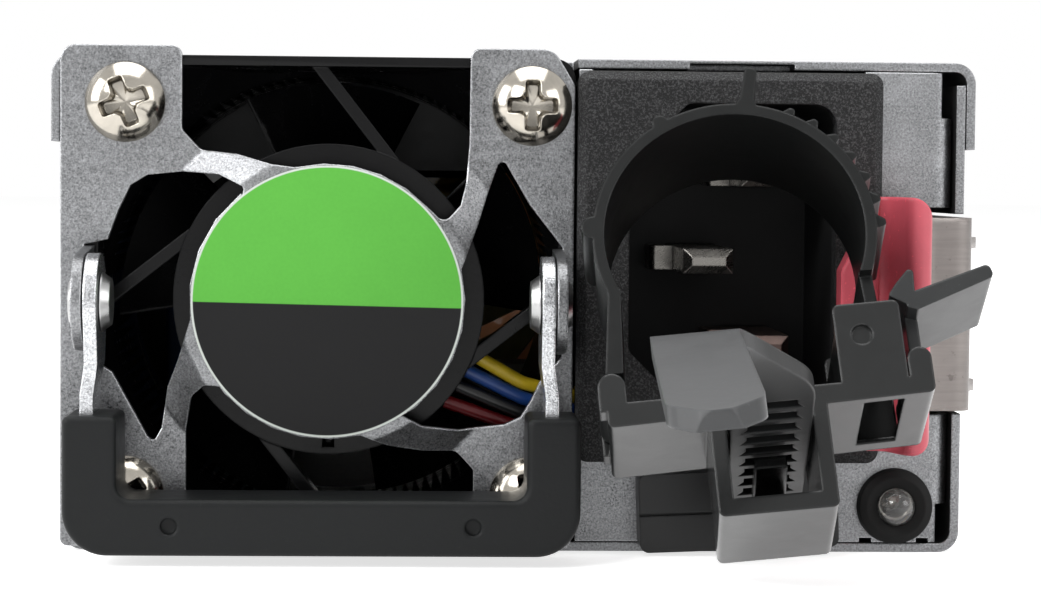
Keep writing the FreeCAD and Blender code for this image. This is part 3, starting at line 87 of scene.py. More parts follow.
class Paint:
    """One material under construction."""

    def __init__(self, name):
        self.material = bpy.data.materials.new(name)
        self.material.use_nodes = True
        self.tree = self.material.node_tree
        self.tree.nodes.clear()
        self.output = self.tree.nodes.new("ShaderNodeOutputMaterial")
        self.place = None

    def node(self, kind, settings=None, values=None, out=0):
        """Add a node and return one of its outputs as a term."""
        made = self.tree.nodes.new(kind)
        for key, value in (settings or {}).items():
            setattr(made, key, value)
        for key, value in (values or {}).items():
            self.feed(made.inputs[key], value)
        return Term(self, made.outputs[out])

    def feed(self, socket, value):
        """Link a term to a socket, or set the socket to a constant."""
        if isinstance(value, Term):
            self.tree.links.new(value.socket, socket)
        elif socket.type == "RGBA":
            socket.default_value = (*value, 1.0)
        else:
            socket.default_value = value

    def math(self, operation, first, second=0.5):
        return self.node("ShaderNodeMath", {"operation": operation}, {0: first, 1: second})

    def dot(self, first, second):
        return self.node("ShaderNodeVectorMath", {"operation": "DOT_PRODUCT"},
                         {0: first, 1: second}, out="Value")

    def where(self):
        """Object coordinates, the same node each time."""
        if self.place is None:
            self.place = self.node("ShaderNodeTexCoord", out="Object")
        return self.place

    def axis(self, name):
        return self.node("ShaderNodeSeparateXYZ", None, {0: self.where()}, out=name)

    def across(self, centre):
        """How far right of a centre, how far above it, and how far from the line along Y through it."""
        right = self.axis("X") - centre[0]
        up = self.axis("Z") - centre[2]
        return right, up, self.math("SQRT", right * right + up * up)

    def stretched(self, scale, turn=(0, 0, 0)):
        """Object coordinates, turned and then scaled."""
        turned = self.node("ShaderNodeMapping", {"vector_type": "POINT"},
                           {"Vector": self.where(), "Rotation": turn})
        return self.node("ShaderNodeVectorMath", {"operation": "MULTIPLY"}, {0: turned, 1: scale})

    def from_middle(self):
        """Place measured from the middle of the case."""
        return self.node("ShaderNodeVectorMath", {"operation": "SUBTRACT"}, {0: self.where(), 1: CASE_MIDDLE})

    def noise(self, scale, detail=3.0, rough=0.5, vector=None, distortion=0.0):
        return self.node("ShaderNodeTexNoise", None,
                         {"Vector": vector or self.where(), "Scale": scale, "Detail": detail,
                          "Roughness": rough, "Distortion": distortion}, out="Fac")

    def cells(self, scale, random=1.0):
        """Distance to the nearest of many scattered points."""
        return self.node("ShaderNodeTexVoronoi", {"feature": "F1"},
                         {"Vector": self.where(), "Scale": scale, "Randomness": random}, out="Distance")

    def step(self, value, low, high):
        """0 below low, 1 above high, smooth between."""
        return self.node("ShaderNodeMapRange", {"interpolation_type": "SMOOTHSTEP"},
                         {"Value": value, "From Min": low, "From Max": high, "To Min": 0.0, "To Max": 1.0})

    def blend(self, amount, first, second, mode="MIX"):
        return self.node("ShaderNodeMix", {"data_type": "RGBA", "blend_type": mode},
                         {"Factor": amount, "A": first, "B": second}, out="Result")

    def shaded(self, colour, shade):
        """A colour made darker or lighter by a grey shade."""
        grey = self.node("ShaderNodeCombineColor", None, {0: shade, 1: shade, 2: shade})
        return self.blend(1.0, colour, grey, "MULTIPLY")

    def bump(self, height, strength, distance, under=None):
        values = {"Height": height, "Strength": strength, "Distance": distance}
        if under is not None:
            values["Normal"] = under
        return self.node("ShaderNodeBump", None, values)

    def surface(self, **values):
        """Finish the material with one shader; underscores stand for the spaces in its inputs' names."""
        shader = self.tree.nodes.new("ShaderNodeBsdfPrincipled")
        for key, value in values.items():
            self.feed(shader.inputs[key.replace("_", " ")], value)
        self.tree.links.new(shader.outputs[0], self.output.inputs["Surface"])
        return self.material


# ---- finishes ----------------------------------------------------------------
def soft_edges(p, radius):
    """Normal that turns smoothly over a sheet's or moulding's edges."""
    return p.node("ShaderNodeBevel", {"samples": 4}, {"Radius": radius})


def edge_mask(p, rounded):
    """1 on outer and inner edges, where the rounded normal leaves the true one."""
    low, high = 0.02, 0.30
    match = p.dot(rounded, p.node("ShaderNodeNewGeometry", out="Normal"))
    return p.step(1.0 - match, low, high)


def crevice(p, reach):
    """Ambient occlusion, used as painted shade: 0 in corners and recesses, 1 in the open."""
    return p.node("ShaderNodeAmbientOcclusion", {"samples": 6, "only_local": True},
                  {"Distance": reach}, out="AO")


def zinc_sheet(name, tone=0.19, mottle=0.3, roughness=0.34, worn_and_highlit=1.1, shade_painted_inside=False):
    """Zinc-coated sheet steel: fine salt-and-pepper grain, cloudy spangle, edges made brighter, partly from
    rubbing and partly as painted highlights.

    tone is the sheet's grey, mottle the strength of its clouds and worn_and_highlit that of its brighter
    edges. A sheet with shade_painted_inside has its faces towards the middle of the case painted near-black
    as painted shade.
    """
    p = Paint(name)
    salt = p.noise(5600.0, detail=3.0, rough=0.8)
    pepper = p.cells(7000.0)
    cloud = p.noise(240.0, detail=6.0, rough=0.7, distortion=0.6)
    streak = p.noise(1.0, detail=4.0, vector=p.stretched((260.0, 260.0, 2400.0), (0.2, 0.0, 0.5)))
    rounded = soft_edges(p, 0.25 * MM)
    rubbed_and_highlit = edge_mask(p, rounded)
    broad = p.noise(52.0, detail=3.0, distortion=0.5)
    clouds = mottle * (1.2 * (cloud - 0.5) + 1.5 * (broad - 0.5))
    grain = 0.83 + 3.1 * (salt - 0.5) + 0.55 * pepper + clouds + 0.3 * (streak - 0.5)
    # painted highlight: the edges are made brighter, partly from rubbing and partly as painted highlights
    colour = p.shaded((0.985, 1.0, 1.03), tone * (grain + worn_and_highlit * rubbed_and_highlit))
    dull_clouds = mottle * (0.30 * (cloud - 0.5) + 0.20 * (broad - 0.5))
    gloss = roughness + dull_clouds + 0.16 * (salt - 0.5) - 0.08 * rubbed_and_highlit
    normal = p.bump(salt + 0.6 * pepper + 3.0 * cloud, 0.35, 0.05 * MM, under=rounded)
    metal = 0.92
    # painted shade: faces towards the middle of the case are painted near-black for the shade inside the case
    if shade_painted_inside:
        inwards = p.dot(p.node("ShaderNodeTexCoord", out="Normal"), p.from_middle())
        inside_shade = p.step(inwards, 0.0, -0.2 * MM)
        colour = p.blend(inside_shade, colour, (0.012, 0.012, 0.012))
        metal = metal * (1.0 - 0.9 * inside_shade)
        gloss = gloss + 0.25 * inside_shade
    return p.surface(Base_Color=colour, Metallic=metal, Roughness=gloss, Normal=normal)


def spring_steel(name):
    """Spring steel with lines drawn along the strip, small dark pits, warm clouds and round folds; folds and
    edges are made brighter, partly from rubbing and partly as a painted highlight.
    """
    tone, fold = (0.22, 0.20, 0.19), 0.9 * MM
    p = Paint(name)
    line = p.noise(1.0, detail=5.0, rough=0.65, vector=p.stretched((160.0, 160.0, 4200.0)))
    cloud = p.noise(230.0, detail=4.0, distortion=0.8)
    pits = p.step(p.noise(1500.0, detail=4.0, rough=0.7), 0.60, 0.70)
    rounded = soft_edges(p, fold)
    rubbed_and_highlit = edge_mask(p, rounded)
    # painted highlight: folds and edges are made brighter, partly from rubbing and partly as a painted
    # highlight
    base = p.shaded(tone, 0.72 + 0.40 * line + 0.34 * (cloud - 0.5) - 0.22 * pits + 0.8 * rubbed_and_highlit)
    return p.surface(Base_Color=base, Metallic=0.95, Roughness=0.34 + 0.18 * (line - 0.5) + 0.12 * pits,
                     Normal=p.bump(line - 0.4 * pits, 0.25, 0.04 * MM, under=rounded))


def plated(name, tone=(0.42, 0.39, 0.34), roughness=0.13, grime_and_shade=0.8):
    """Bright plating with hair scratches, faint tarnish, painted shade in its corners and recesses, and edges
    made brighter, partly from rubbing and partly as painted highlights.
    """
    p = Paint(name)
    scratch = p.noise(1.0, detail=5.0, rough=0.7, vector=p.stretched((900.0, 900.0, 7000.0), (0.3, 0.5, 0.2)))
    tarnish = p.noise(800.0, detail=4.0, distortion=0.5)
    rounded = soft_edges(p, 0.15 * MM)
    rubbed_and_highlit = edge_mask(p, rounded)
    open_air = crevice(p, 0.9 * MM)
    # painted shade: darker in corners and recesses; painted highlight: edges brighter, partly from rubbing
    shade = (0.70 + 0.50 * tarnish + 0.5 * rubbed_and_highlit) * (1.0 - grime_and_shade + grime_and_shade * open_air ** 2.0)
    base = p.shaded(tone, shade)
    gloss = roughness + 0.14 * (scratch - 0.5) + 0.10 * (tarnish - 0.5)
    return p.surface(Base_Color=base, Metallic=1.0, Roughness=gloss,
                     Normal=p.bump(scratch, 0.12, 0.03 * MM, under=rounded))


def moulding(name, colour, roughness=0.42, grain=0.12, shine=0.25, edge=0.25 * MM, edge_wear_and_highlight=0.35, painted_light_end=None):
    """Moulded plastic: fine satin texture, handling marks, edges a little paler, partly from rubbing and
    partly as painted highlights.

    painted_light_end gives a place along Y and how many times paler the plastic is in front of it, as painted
    light.
    """
    p = Paint(name)
    texture = p.noise(3800.0, detail=2.0)
    marks = p.noise(380.0, detail=5.0, rough=0.6, distortion=0.6)
    dust = p.step(p.noise(2600.0, detail=3.0, rough=0.6), 0.66, 0.74)
    rounded = soft_edges(p, edge)
    rubbed_and_highlit = edge_mask(p, rounded)
    # painted highlight: edges are made paler, partly from rubbing and partly as painted highlights
    shade = 0.84 + 0.32 * marks + edge_wear_and_highlight * rubbed_and_highlit + 0.5 * dust
    # painted light: in front of a given place along Y the plastic is painted paler
    if painted_light_end:
        place, times = painted_light_end
        shade = shade * (1.0 + (times - 1.0) * p.step(p.axis("Y"), place, place - 3.0 * MM))
    base = p.shaded(colour, shade)
    gloss = roughness + 0.16 * (marks - 0.5) - 0.06 * rubbed_and_highlit
    normal = p.bump(texture, grain, 0.08 * MM, under=rounded)
    return p.surface(Base_Color=base, Roughness=gloss, Normal=normal, Specular_IOR_Level=shine)


def spark_eroded(name):
    """Black plastic whose front face has a coarse eroded texture, with painted glints on the tips of its
    grit.
    """
    colour = (0.0155, 0.0155, 0.016)
    plain_from, grit_from = -92.2 * MM, -92.9 * MM
    p = Paint(name)
    grit = p.noise(7000.0, detail=3.0, rough=0.8)
    sparkle = p.step(grit, 0.48, 0.62)
    cloud = p.noise(260.0, detail=3.0)
    front = p.step(p.axis("Y"), plain_from, grit_from)
    # painted glints: the tips of the grit on the front face are painted pale
    shade = 0.45 + 0.5 * cloud + front * 3.9 * sparkle
    base = p.shaded(colour, shade)
    normal = p.bump(front * grit, 0.8, 0.14 * MM, under=soft_edges(p, 0.3 * MM))
    return p.surface(Base_Color=base, Roughness=0.50 - 0.16 * sparkle * front, Normal=normal,
                     Specular_IOR_Level=0.20)


def fan_gloss(name):
    """Glass-filled black plastic with a gloss skin, faint flow lines, and edges made paler, partly from
    rubbing and partly as painted highlights.
    """
    colour = (0.0035, 0.0035, 0.0038)
    p = Paint(name)
    flow = p.noise(1.0, detail=4.0, distortion=1.2, vector=p.stretched((150.0, 600.0, 150.0)))
    fibre = p.noise(4200.0, detail=2.0)
    rounded = soft_edges(p, 0.2 * MM)
    rubbed_and_highlit = edge_mask(p, rounded)
    # painted highlight: edges are made paler, partly from rubbing and partly as painted highlights
    base = p.shaded(colour, 0.75 + 0.5 * flow + 1.6 * rubbed_and_highlit)
    return p.surface(Base_Color=base, Roughness=0.24 + 0.22 * (flow - 0.5) + 0.08 * (fibre - 0.5),
                     Normal=p.bump(fibre + 2.0 * flow, 0.10, 0.05 * MM, under=rounded),
                     Specular_IOR_Level=0.15)


def wire_sleeve(name, colour):
    """Extruded insulation, shiny, with faint lengthwise drag marks and a little grime."""
    p = Paint(name)
    drag = p.noise(1.0, detail=3.0, vector=p.stretched((500.0, 3000.0, 3000.0)))
    grime_and_shade = p.noise(900.0, detail=4.0)
    base = p.shaded(colour, 0.80 + 0.40 * grime_and_shade)
    return p.surface(Base_Color=base, Roughness=0.32 + 0.14 * (drag - 0.5), Specular_IOR_Level=0.4,
                     Normal=p.bump(drag, 0.15, 0.04 * MM))


def clear_lens(name):
    """Water-clear moulded epoxy with a slight haze."""
    p = Paint(name)
    haze = p.noise(900.0, detail=3.0)
    base = p.blend(haze, (0.80, 0.80, 0.78), (0.90, 0.90, 0.88))
    return p.surface(Base_Color=base, Roughness=0.06 + 0.08 * haze, Transmission_Weight=0.92, IOR=1.5,
                     Normal=p.bump(haze, 0.06, 0.05 * MM))


def circuit_board(name):
    """Green solder mask over copper runs, with pale legend-free pads in a grid."""
    mask, over_copper, tin = (0.010, 0.085, 0.035), (0.030, 0.17, 0.06), (0.60, 0.58, 0.54)
    p = Paint(name)
    runs = p.node("ShaderNodeTexBrick", {"offset": 0.4, "squash": 1.6},
                  {"Vector": p.stretched((1.0, 1.0, 1.0), (0, 0, 0.02)), "Scale": 260.0,
                   "Mortar Size": 0.05, "Mortar Smooth": 0.3, "Brick Width": 0.7, "Row Height": 0.22},
                  out="Fac")
    pads = p.step(p.cells(420.0, random=0.85), 0.16, 0.13)
    weave = p.noise(3400.0, detail=2.0)
    tinned = p.blend(pads, p.blend(runs, mask, over_copper), tin)
    base = p.shaded(tinned, 0.86 + 0.28 * weave)
    return p.surface(Base_Color=base, Metallic=0.9 * pads, Roughness=0.34 + 0.1 * (weave - 0.5) - 0.08 * pads,
                     Normal=p.bump(runs + 2.0 * pads, 0.3, 0.05 * MM))


def end_faced(name, sleeve, ends, along):
    """Sleeved can: shrink sleeve round it, and metal ends that face along one axis."""
    p = Paint(name)
    facing = p.node("ShaderNodeSeparateXYZ", None, {0: p.node("ShaderNodeTexCoord", out="Normal")}, out=along)
    bare = p.step(p.math("ABSOLUTE", facing), 0.75, 0.9)
    wrinkle = p.noise(500.0, detail=3.0, distortion=0.4)
    spin = p.noise(2400.0, detail=3.0)
    colour = p.blend(bare, p.shaded(sleeve, 0.8 + 0.4 * wrinkle), p.shaded(ends, 0.85 + 0.3 * spin))
    return p.surface(Base_Color=colour, Metallic=bare, Roughness=0.30 + 0.12 * wrinkle + 0.06 * bare,
                     Normal=p.bump(wrinkle + 0.3 * spin, 0.12, 0.08 * MM), Specular_IOR_Level=0.4)


def ferrite(name, colour=(0.028, 0.027, 0.028)):
    """Sintered ferrite: dull, slightly metallic grey-black with chipped grain."""
    p = Paint(name)
    chips = p.cells(1100.0)
    grain = p.noise(3600.0, detail=3.0)
    base = p.shaded(colour, 0.8 + 0.3 * grain + 0.3 * chips)
    return p.surface(Base_Color=base, Metallic=0.25, Roughness=0.62 + 0.14 * (grain - 0.5),
                     Normal=p.bump(grain + chips, 0.3, 0.08 * MM, under=soft_edges(p, 0.4 * MM)))


def winding(name, colour, pitch, lay):
    """Close turns of wire or tape: ridges across one axis under a clear coat."""
    p = Paint(name)
    ridge = p.math("SINE", p.axis(lay) * (math.tau / pitch))
    tone = p.noise(700.0, detail=3.0)
    base = p.shaded(colour, 0.78 + 0.16 * ridge + 0.3 * tone)
    return p.surface(Base_Color=base, Metallic=0.55, Roughness=0.30 + 0.12 * (tone - 0.5), Coat_Weight=0.4,
                     Normal=p.bump(ridge, 0.6, 0.12 * MM))


def extruded(name):
    """Aluminium extruded along Y, with die lines along its length."""
    tone = (0.50, 0.51, 0.52)
    p = Paint(name)
    die = p.noise(1.0, detail=4.0, rough=0.6, vector=p.stretched((3600.0, 90.0, 3600.0)))
    cloud = p.noise(300.0, detail=3.0)
    base = p.shaded(tone, 0.82 + 0.3 * die + 0.1 * cloud)
    return p.surface(Base_Color=base, Metallic=0.95, Roughness=0.32 + 0.16 * (die - 0.5),
                     Normal=p.bump(die, 0.3, 0.05 * MM, under=soft_edges(p, 0.2 * MM)))


def tinned_below(name, body, height):
    """Epoxy package above, tinned legs below a given height."""
    p = Paint(name)
    legs = p.step(p.axis("Z"), height + 0.05 * MM, height - 0.05 * MM)
    grain = p.noise(2600.0, detail=3.0)
    base = p.blend(legs, p.shaded(body, 0.8 + 0.4 * grain), (0.62, 0.61, 0.58))
    return p.surface(Base_Color=base, Metallic=legs, Roughness=0.52 - 0.24 * legs + 0.08 * (grain - 0.5),
                     Normal=p.bump(grain, 0.25, 0.05 * MM, under=soft_edges(p, 0.25 * MM)))


def stator_iron(name, centre, bore, rim):
    """Laminated iron poles with copper turns between a bore and a rim radius."""
    p = Paint(name)
    _, _, radius = p.across(centre)
    soft, sheet, wire_pitch = 0.1 * MM, 0.5 * MM, 0.35 * MM
    copper = p.step(radius, bore - soft, bore + soft) * p.step(radius, rim + soft, rim - soft)
    sheets = p.math("SINE", p.axis("Y") * (math.tau / sheet))
    turns = p.math("SINE", radius * (math.tau / wire_pitch))
    tone = p.noise(900.0, detail=3.0)
    iron = p.shaded((0.16, 0.155, 0.15), 0.8 + 0.15 * sheets + 0.3 * tone)
    wire = p.shaded((0.45, 0.17, 0.07), 0.8 + 0.15 * turns + 0.3 * tone)
    base = p.blend(copper, iron, wire)
    return p.surface(Base_Color=base, Metallic=0.85, Roughness=0.36 + 0.1 * (tone - 0.5),
                     Normal=p.bump(sheets + turns, 0.3, 0.06 * MM))


def gold_contacts(name):
    """Gold over the card edge: polished, with a faint rubbed track across each finger."""
    p = Paint(name)
    rub = p.noise(1.0, detail=4.0, vector=p.stretched((6000.0, 200.0, 400.0)))
    cloud = p.noise(700.0, detail=3.0)
    base = p.shaded((0.78, 0.50, 0.16), 0.80 + 0.25 * rub + 0.15 * cloud)
    return p.surface(Base_Color=base, Metallic=1.0, Roughness=0.22 + 0.2 * (rub - 0.5),
                     Normal=p.bump(rub, 0.2, 0.03 * MM))


def insulating_film(name):
    """Black insulating film with soft creases."""
    p = Paint(name)
    crease = p.noise(70.0, detail=4.0, distortion=0.8)
    haze = p.noise(1400.0, detail=2.0)
    base = p.blend(crease, (0.016, 0.016, 0.017), (0.024, 0.024, 0.025))
    return p.surface(Base_Color=base, Roughness=0.36 + 0.12 * (haze - 0.5), Specular_IOR_Level=0.3,
                     Normal=p.bump(crease, 0.3, 0.3 * MM))


def disc_label():
    """Bare two-tone disc: green above, charcoal below, thin pale rim."""
    green, charcoal, pale = (0.112, 0.430, 0.062), (0.014, 0.014, 0.0145), (0.60, 0.64, 0.60)
    rim_width, tilt, below_middle = 0.20 * MM, 0.018, 0.25 * MM
    low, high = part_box("hub_label")
    rim_from = (high[0] - low[0]) / 2 - rim_width
    p = Paint("disc label")
    right, up, radius = p.across(box_middle("hub_label"))
    upper = p.step(up + tilt * right + below_middle, -0.05 * MM, 0.05 * MM)
    rim = p.step(radius, rim_from, rim_from + 0.08 * MM)
    fibre = p.noise(3600.0, detail=3.0)
    cloud = p.noise(240.0, detail=3.0)
    face = p.blend(rim, p.blend(upper, charcoal, green), pale)
    base = p.shaded(face, 0.90 + 0.12 * fibre + 0.10 * cloud)
    return p.surface(Base_Color=base, Roughness=0.44 + 0.12 * (fibre - 0.5), Specular_IOR_Level=0.11,
                     Normal=p.bump(fibre, 0.12, 0.05 * MM))


def dress(finish, *names):
    """Give one finish to CAD nodes."""
    for name in names:
        materials = nodes[name].data.materials
        materials.clear()
        materials.append(finish)


# ---- which node wears what ---------------------------------------------------
# sheet metal
dress(zinc_sheet("case zinc", shade_painted_inside=True), "case_base", "top_cover", "rear_panel")
# painted shade: the cover's brackets and the latch's anchor are painted near-black zinc for the shade they
# lie in
dress(zinc_sheet("shade_darkened brackets", 0.02), "cover_brackets", "latch_anchor")
dress(zinc_sheet("front zinc", 0.175, mottle=0.9, worn_and_highlit=2.4), "front_panel", "fan_guard")
dress(zinc_sheet("arm zinc", 0.40, roughness=0.24), "handle_arm_left", "handle_arm_right")
dress(spring_steel("leaf steel"), "latch_leaf")
dress(plated("screw nickel"), "fan_screws", "board_screws", "cover_screws")
dress(plated("rivet steel", (0.42, 0.42, 0.42), 0.3),
      "handle_rivets", "latch_rivets", "fan_shaft", "fan_bearings")
dress(plated("blade nickel", (0.21, 0.20, 0.185), 0.28), "earth_pin", "neutral_pin", "led_leads")
dress(plated("worn copper blade", (0.25, 0.18, 0.16), 0.36, grime_and_shade=0.6), "line_pin")
dress(plated("standoff brass", (0.55, 0.40, 0.17), 0.3), "board_standoffs", "bearing_tube")

# mouldings
fan_black = fan_gloss("fan black")
dress(fan_black, "fan_frame", "fan_rotor")
dress(moulding("grip black", (0.0095, 0.0102, 0.0106), 0.40, 0.22, shine=0.15, edge=0.5 * MM, edge_wear_and_highlight=0.8),
      "handle_grip")
dress(spark_eroded("inlet black"), "inlet_housing")
dress(moulding("clamp nylon", (0.0085, 0.009, 0.009), 0.22, 0.05, shine=0.40, edge_wear_and_highlight=1.6), "clamp_slider")
dress(moulding("ring nylon", (0.0075, 0.008, 0.008), 0.34, 0.05, shine=0.20, edge_wear_and_highlight=1.6), "clamp_ring")
dress(moulding("lever nylon", (0.019, 0.020, 0.0205), 0.34, 0.05, shine=0.35, edge_wear_and_highlight=1.0), "clamp_lever")
# painted light: the strap's outer end, the tongue, is painted 5.6 times paler than the rest
dress(moulding("strap nylon", (0.0085, 0.0087, 0.009), 0.38, 0.05, shine=0.32, edge_wear_and_highlight=1.2,
               painted_light_end=(-131.0 * MM, 5.6)), "retainer_strap")
dress(moulding("latch red", (0.66, 0.105, 0.140), 0.36, 0.06, shine=0.45, edge=0.5 * MM, edge_wear_and_highlight=0.7),
      "latch_tab")
dress(moulding("grommet rubber", (0.008, 0.008, 0.008), 0.60, 0.2, shine=0.14), "led_grommet")
dress(moulding("relay blue", (0.03, 0.07, 0.20), 0.38), "input_relay")
dress(moulding("film capacitor yellow", (0.55, 0.36, 0.04), 0.42), "x_capacitor")
dress(moulding("socket nylon", (0.30, 0.29, 0.26), 0.45), "fan_socket")
dress(moulding("fuse ceramic", (0.66, 0.65, 0.60), 0.35), "fuse_link")
dress(clear_lens("lens epoxy"), "led_lens")
dress(disc_label(), "hub_label")
for lead, lead_colour in (("yellow", (0.70, 0.50, 0.02)), ("blue", (0.015, 0.07, 0.30)),
                          ("black", (0.010, 0.010, 0.011)), ("red", (0.22, 0.010, 0.014))):
    dress(wire_sleeve("wire " + lead, lead_colour), "fan_wire_" + lead)

# power electronics
leg_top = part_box("main_board")[1][2] + 6.0 * MM
dress(circuit_board("board green"), "main_board", "control_board", "motor_board")
dress(gold_contacts("finger gold"), "edge_fingers")
film = insulating_film("insulating film")
dress(film, "insulator_film")
dress(end_faced("bulk capacitor sleeve", (0.012, 0.013, 0.016), (0.03, 0.03, 0.03), "Y"), "bulk_capacitors")
dress(end_faced("output capacitor can", (0.30, 0.31, 0.33), (0.55, 0.55, 0.55), "Z"), "output_capacitors")
dress(ferrite("core ferrite"), "transformer_core")
dress(ferrite("choke powder core", (0.17, 0.15, 0.05)), "choke_core")
dress(winding("transformer tape", (0.62, 0.42, 0.06), 3.0 * MM, "Z"), "transformer_coil")
dress(winding("choke copper", (0.50, 0.20, 0.08), 1.0 * MM, "Y"), "choke_coil")
dress(extruded("heatsink aluminium"), "input_heatsink", "output_heatsink")
dress(tinned_below("transistor package", (0.014, 0.014, 0.015), leg_top), "output_transistors")
dress(moulding("chip epoxy", (0.014, 0.014, 0.015), 0.55, 0.3), "control_chips")
dress(stator_iron("stator iron", box_middle("motor_stator"), 3.8 * MM, 6.2 * MM), "motor_stator")


# ---- pieces made here --------------------------------------------------------
WELD = 0.001 * MM
# the fan's screws, in mm
HEAD_RADIUS, HEAD_HEIGHT, DOME_RADIUS = 3.15, 2.3, 3.657
SHANK_RADIUS, SHANK_LENGTH = 1.5, 7.4


def new_object(name, bm):
    """Turn a bmesh into an object of the scene."""
    mesh = bpy.data.meshes.new(name)
    bm.to_mesh(mesh)
    bm.free()
    made = bpy.data.objects.new(name, mesh)
    bpy.context.scene.collection.objects.link(made)
    return made


def rounded_piece(name, bm, finish):
    """Make a smooth piece with sharp corners of a bmesh and fix it to the chassis."""
    bmesh.ops.recalc_face_normals(bm, faces=bm.faces)
    for face in bm.faces:
        face.smooth = True
    piece = new_object(name, bm)
    piece.data.set_sharp_from_angle(angle=math.radians(32.0))
    piece.data.materials.append(finish)
    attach(piece, "chassis")
    return piece


def only(kind, geometry):
    """The vertices, edges or faces in the result of a bmesh operation."""
    return [item for item in geometry if isinstance(item, kind)]


def reflector_cup():
    """Dished lead frame inside the clear lens, with its die and the second post."""
    cup_depth, floor_radius, mouth_radius, lip = 1.0 * MM, 0.42 * MM, 0.78 * MM, 0.1 * MM
    dish_depth, dish_floor, die_size, die_lift = 0.6 * MM, 0.5, 0.3 * MM, 0.1 * MM
    inside_lens, post_start, post_width = 2.0 * MM, 0.9 * MM, 0.45 * MM
    posts = ((0.15 * MM, 2.0 * MM), (-0.85 * MM, 2.4 * MM))  # height above the lens's axis, length
    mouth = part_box("led_lens")[0][1] + inside_lens
    centre = Vector(box_middle("led_lens"))
    bm = bmesh.new()
    turn = Matrix.Rotation(math.radians(90.0), 4, "X")
    place = Matrix.Translation((centre.x, mouth + cup_depth / 2, centre.z + posts[0][0]))
    bmesh.ops.create_cone(bm, cap_ends=True, segments=28, radius1=floor_radius, radius2=mouth_radius,
                          depth=cup_depth, matrix=place @ turn)
    front = min(bm.faces, key=lambda face: face.calc_center_median().y)
    bmesh.ops.inset_region(bm, faces=[front], thickness=lip)
    rim = only(bmesh.types.BMVert, bmesh.ops.extrude_face_region(bm, geom=[front])["geom"])
    bmesh.ops.translate(bm, verts=rim, vec=(0, dish_depth, 0))
    middle = sum((v.co for v in rim), Vector()) / len(rim)
    bmesh.ops.scale(bm, verts=rim, vec=(dish_floor, 1.0, dish_floor), space=Matrix.Translation(-middle))
    if front.is_valid:
        bmesh.ops.delete(bm, geom=[front], context="FACES_ONLY")
    bmesh.ops.create_cube(bm, size=die_size, matrix=Matrix.Translation(middle - Vector((0, die_lift, 0))))
    for height, length in posts:
        post = Matrix.Translation((centre.x, mouth + post_start + length / 2, centre.z + height))
        size = Matrix.Diagonal((post_width, length, post_width, 1.0))
        bmesh.ops.create_cube(bm, size=1.0, matrix=post @ size)
    bmesh.ops.recalc_face_normals(bm, faces=bm.faces)
    cup = new_object("led_cup", bm)
    cup.data.materials.append(nodes["led_leads"].data.materials[0])
    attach(cup, "chassis")


def seen_from_front(angle):
    """Turn about the fan's axis, anticlockwise as the front shows it."""
    return Matrix.Rotation(-math.radians(angle), 4, "Y")


def spin_carrier(bm, centre, radius):
    """Motor carrier: one profile spun round the shaft, with a moulded dimple below the middle."""
    depth, wall, sheet, hole = 5.0 * MM, 1.0 * MM, 1.2 * MM, 1.4 * MM
    dimple_radius, dimple_lip, dimple_depth, steps = 0.45 * MM, 0.1 * MM, 0.9 * MM, 72
    inner = radius - wall
    profile = ((hole, 0.0), (inner - dimple_radius, 0.0), (inner + dimple_radius, 0.0), (radius, 0.0),
               (radius, depth), (inner, depth), (inner, sheet), (hole, sheet))
    begin = seen_from_front(-90.0 - 180.0 / steps)
    ring = [bm.verts.new(centre + begin @ Vector((out, back, 0.0))) for out, back in profile]
    sides = [bm.edges.new((ring[i - 1], ring[i])) for i in range(len(ring))]
    bmesh.ops.spin(bm, geom=ring + sides, cent=centre, axis=(0.0, -1.0, 0.0), angle=math.tau, steps=steps,
                   use_merge=True)
    mark = centre - Vector((0.0, 0.0, inner))
    spot = min(bm.faces, key=lambda face: (face.calc_center_median() - mark).length)
    bmesh.ops.inset_individual(bm, faces=[spot], thickness=dimple_lip)
    bmesh.ops.translate(bm, verts=spot.verts, vec=(0.0, dimple_depth, 0.0))


def swept_strut(bm, about, centre, radius):
    """One strut from the carrier's edge, swept round and cut off flat inside the frame's wall."""
    root_angle, sweep, wall_height = 68.0, 60.0, 18.8 * MM
    length, depth, width, sunk, setback = 14.0 * MM, 2.2 * MM, 1.0 * MM, 0.8 * MM, 0.1 * MM
    root = about @ seen_from_front(root_angle) @ Matrix.Translation((radius, 0.0, 0.0))
    shift = Matrix.Translation((length / 2 - sunk, depth / 2 + setback, 0.0))
    place = root @ seen_from_front(sweep) @ shift
    size = Matrix.Diagonal((length, depth, width, 1.0))
    corners = bmesh.ops.create_cube(bm, size=1.0, matrix=place @ size)["verts"]
    edges = list(dict.fromkeys(edge for v in corners for edge in v.link_edges))
    faces = list(dict.fromkeys(face for v in corners for face in v.link_faces))
    wall = about @ Vector((0.0, 0.0, wall_height))
    cut = bmesh.ops.bisect_plane(bm, geom=corners + edges + faces, plane_co=wall,
                                 plane_no=(wall - centre).normalized(), clear_outer=True)
    bmesh.ops.holes_fill(bm, edges=only(bmesh.types.BMEdge, cut["geom_cut"]), sides=0)


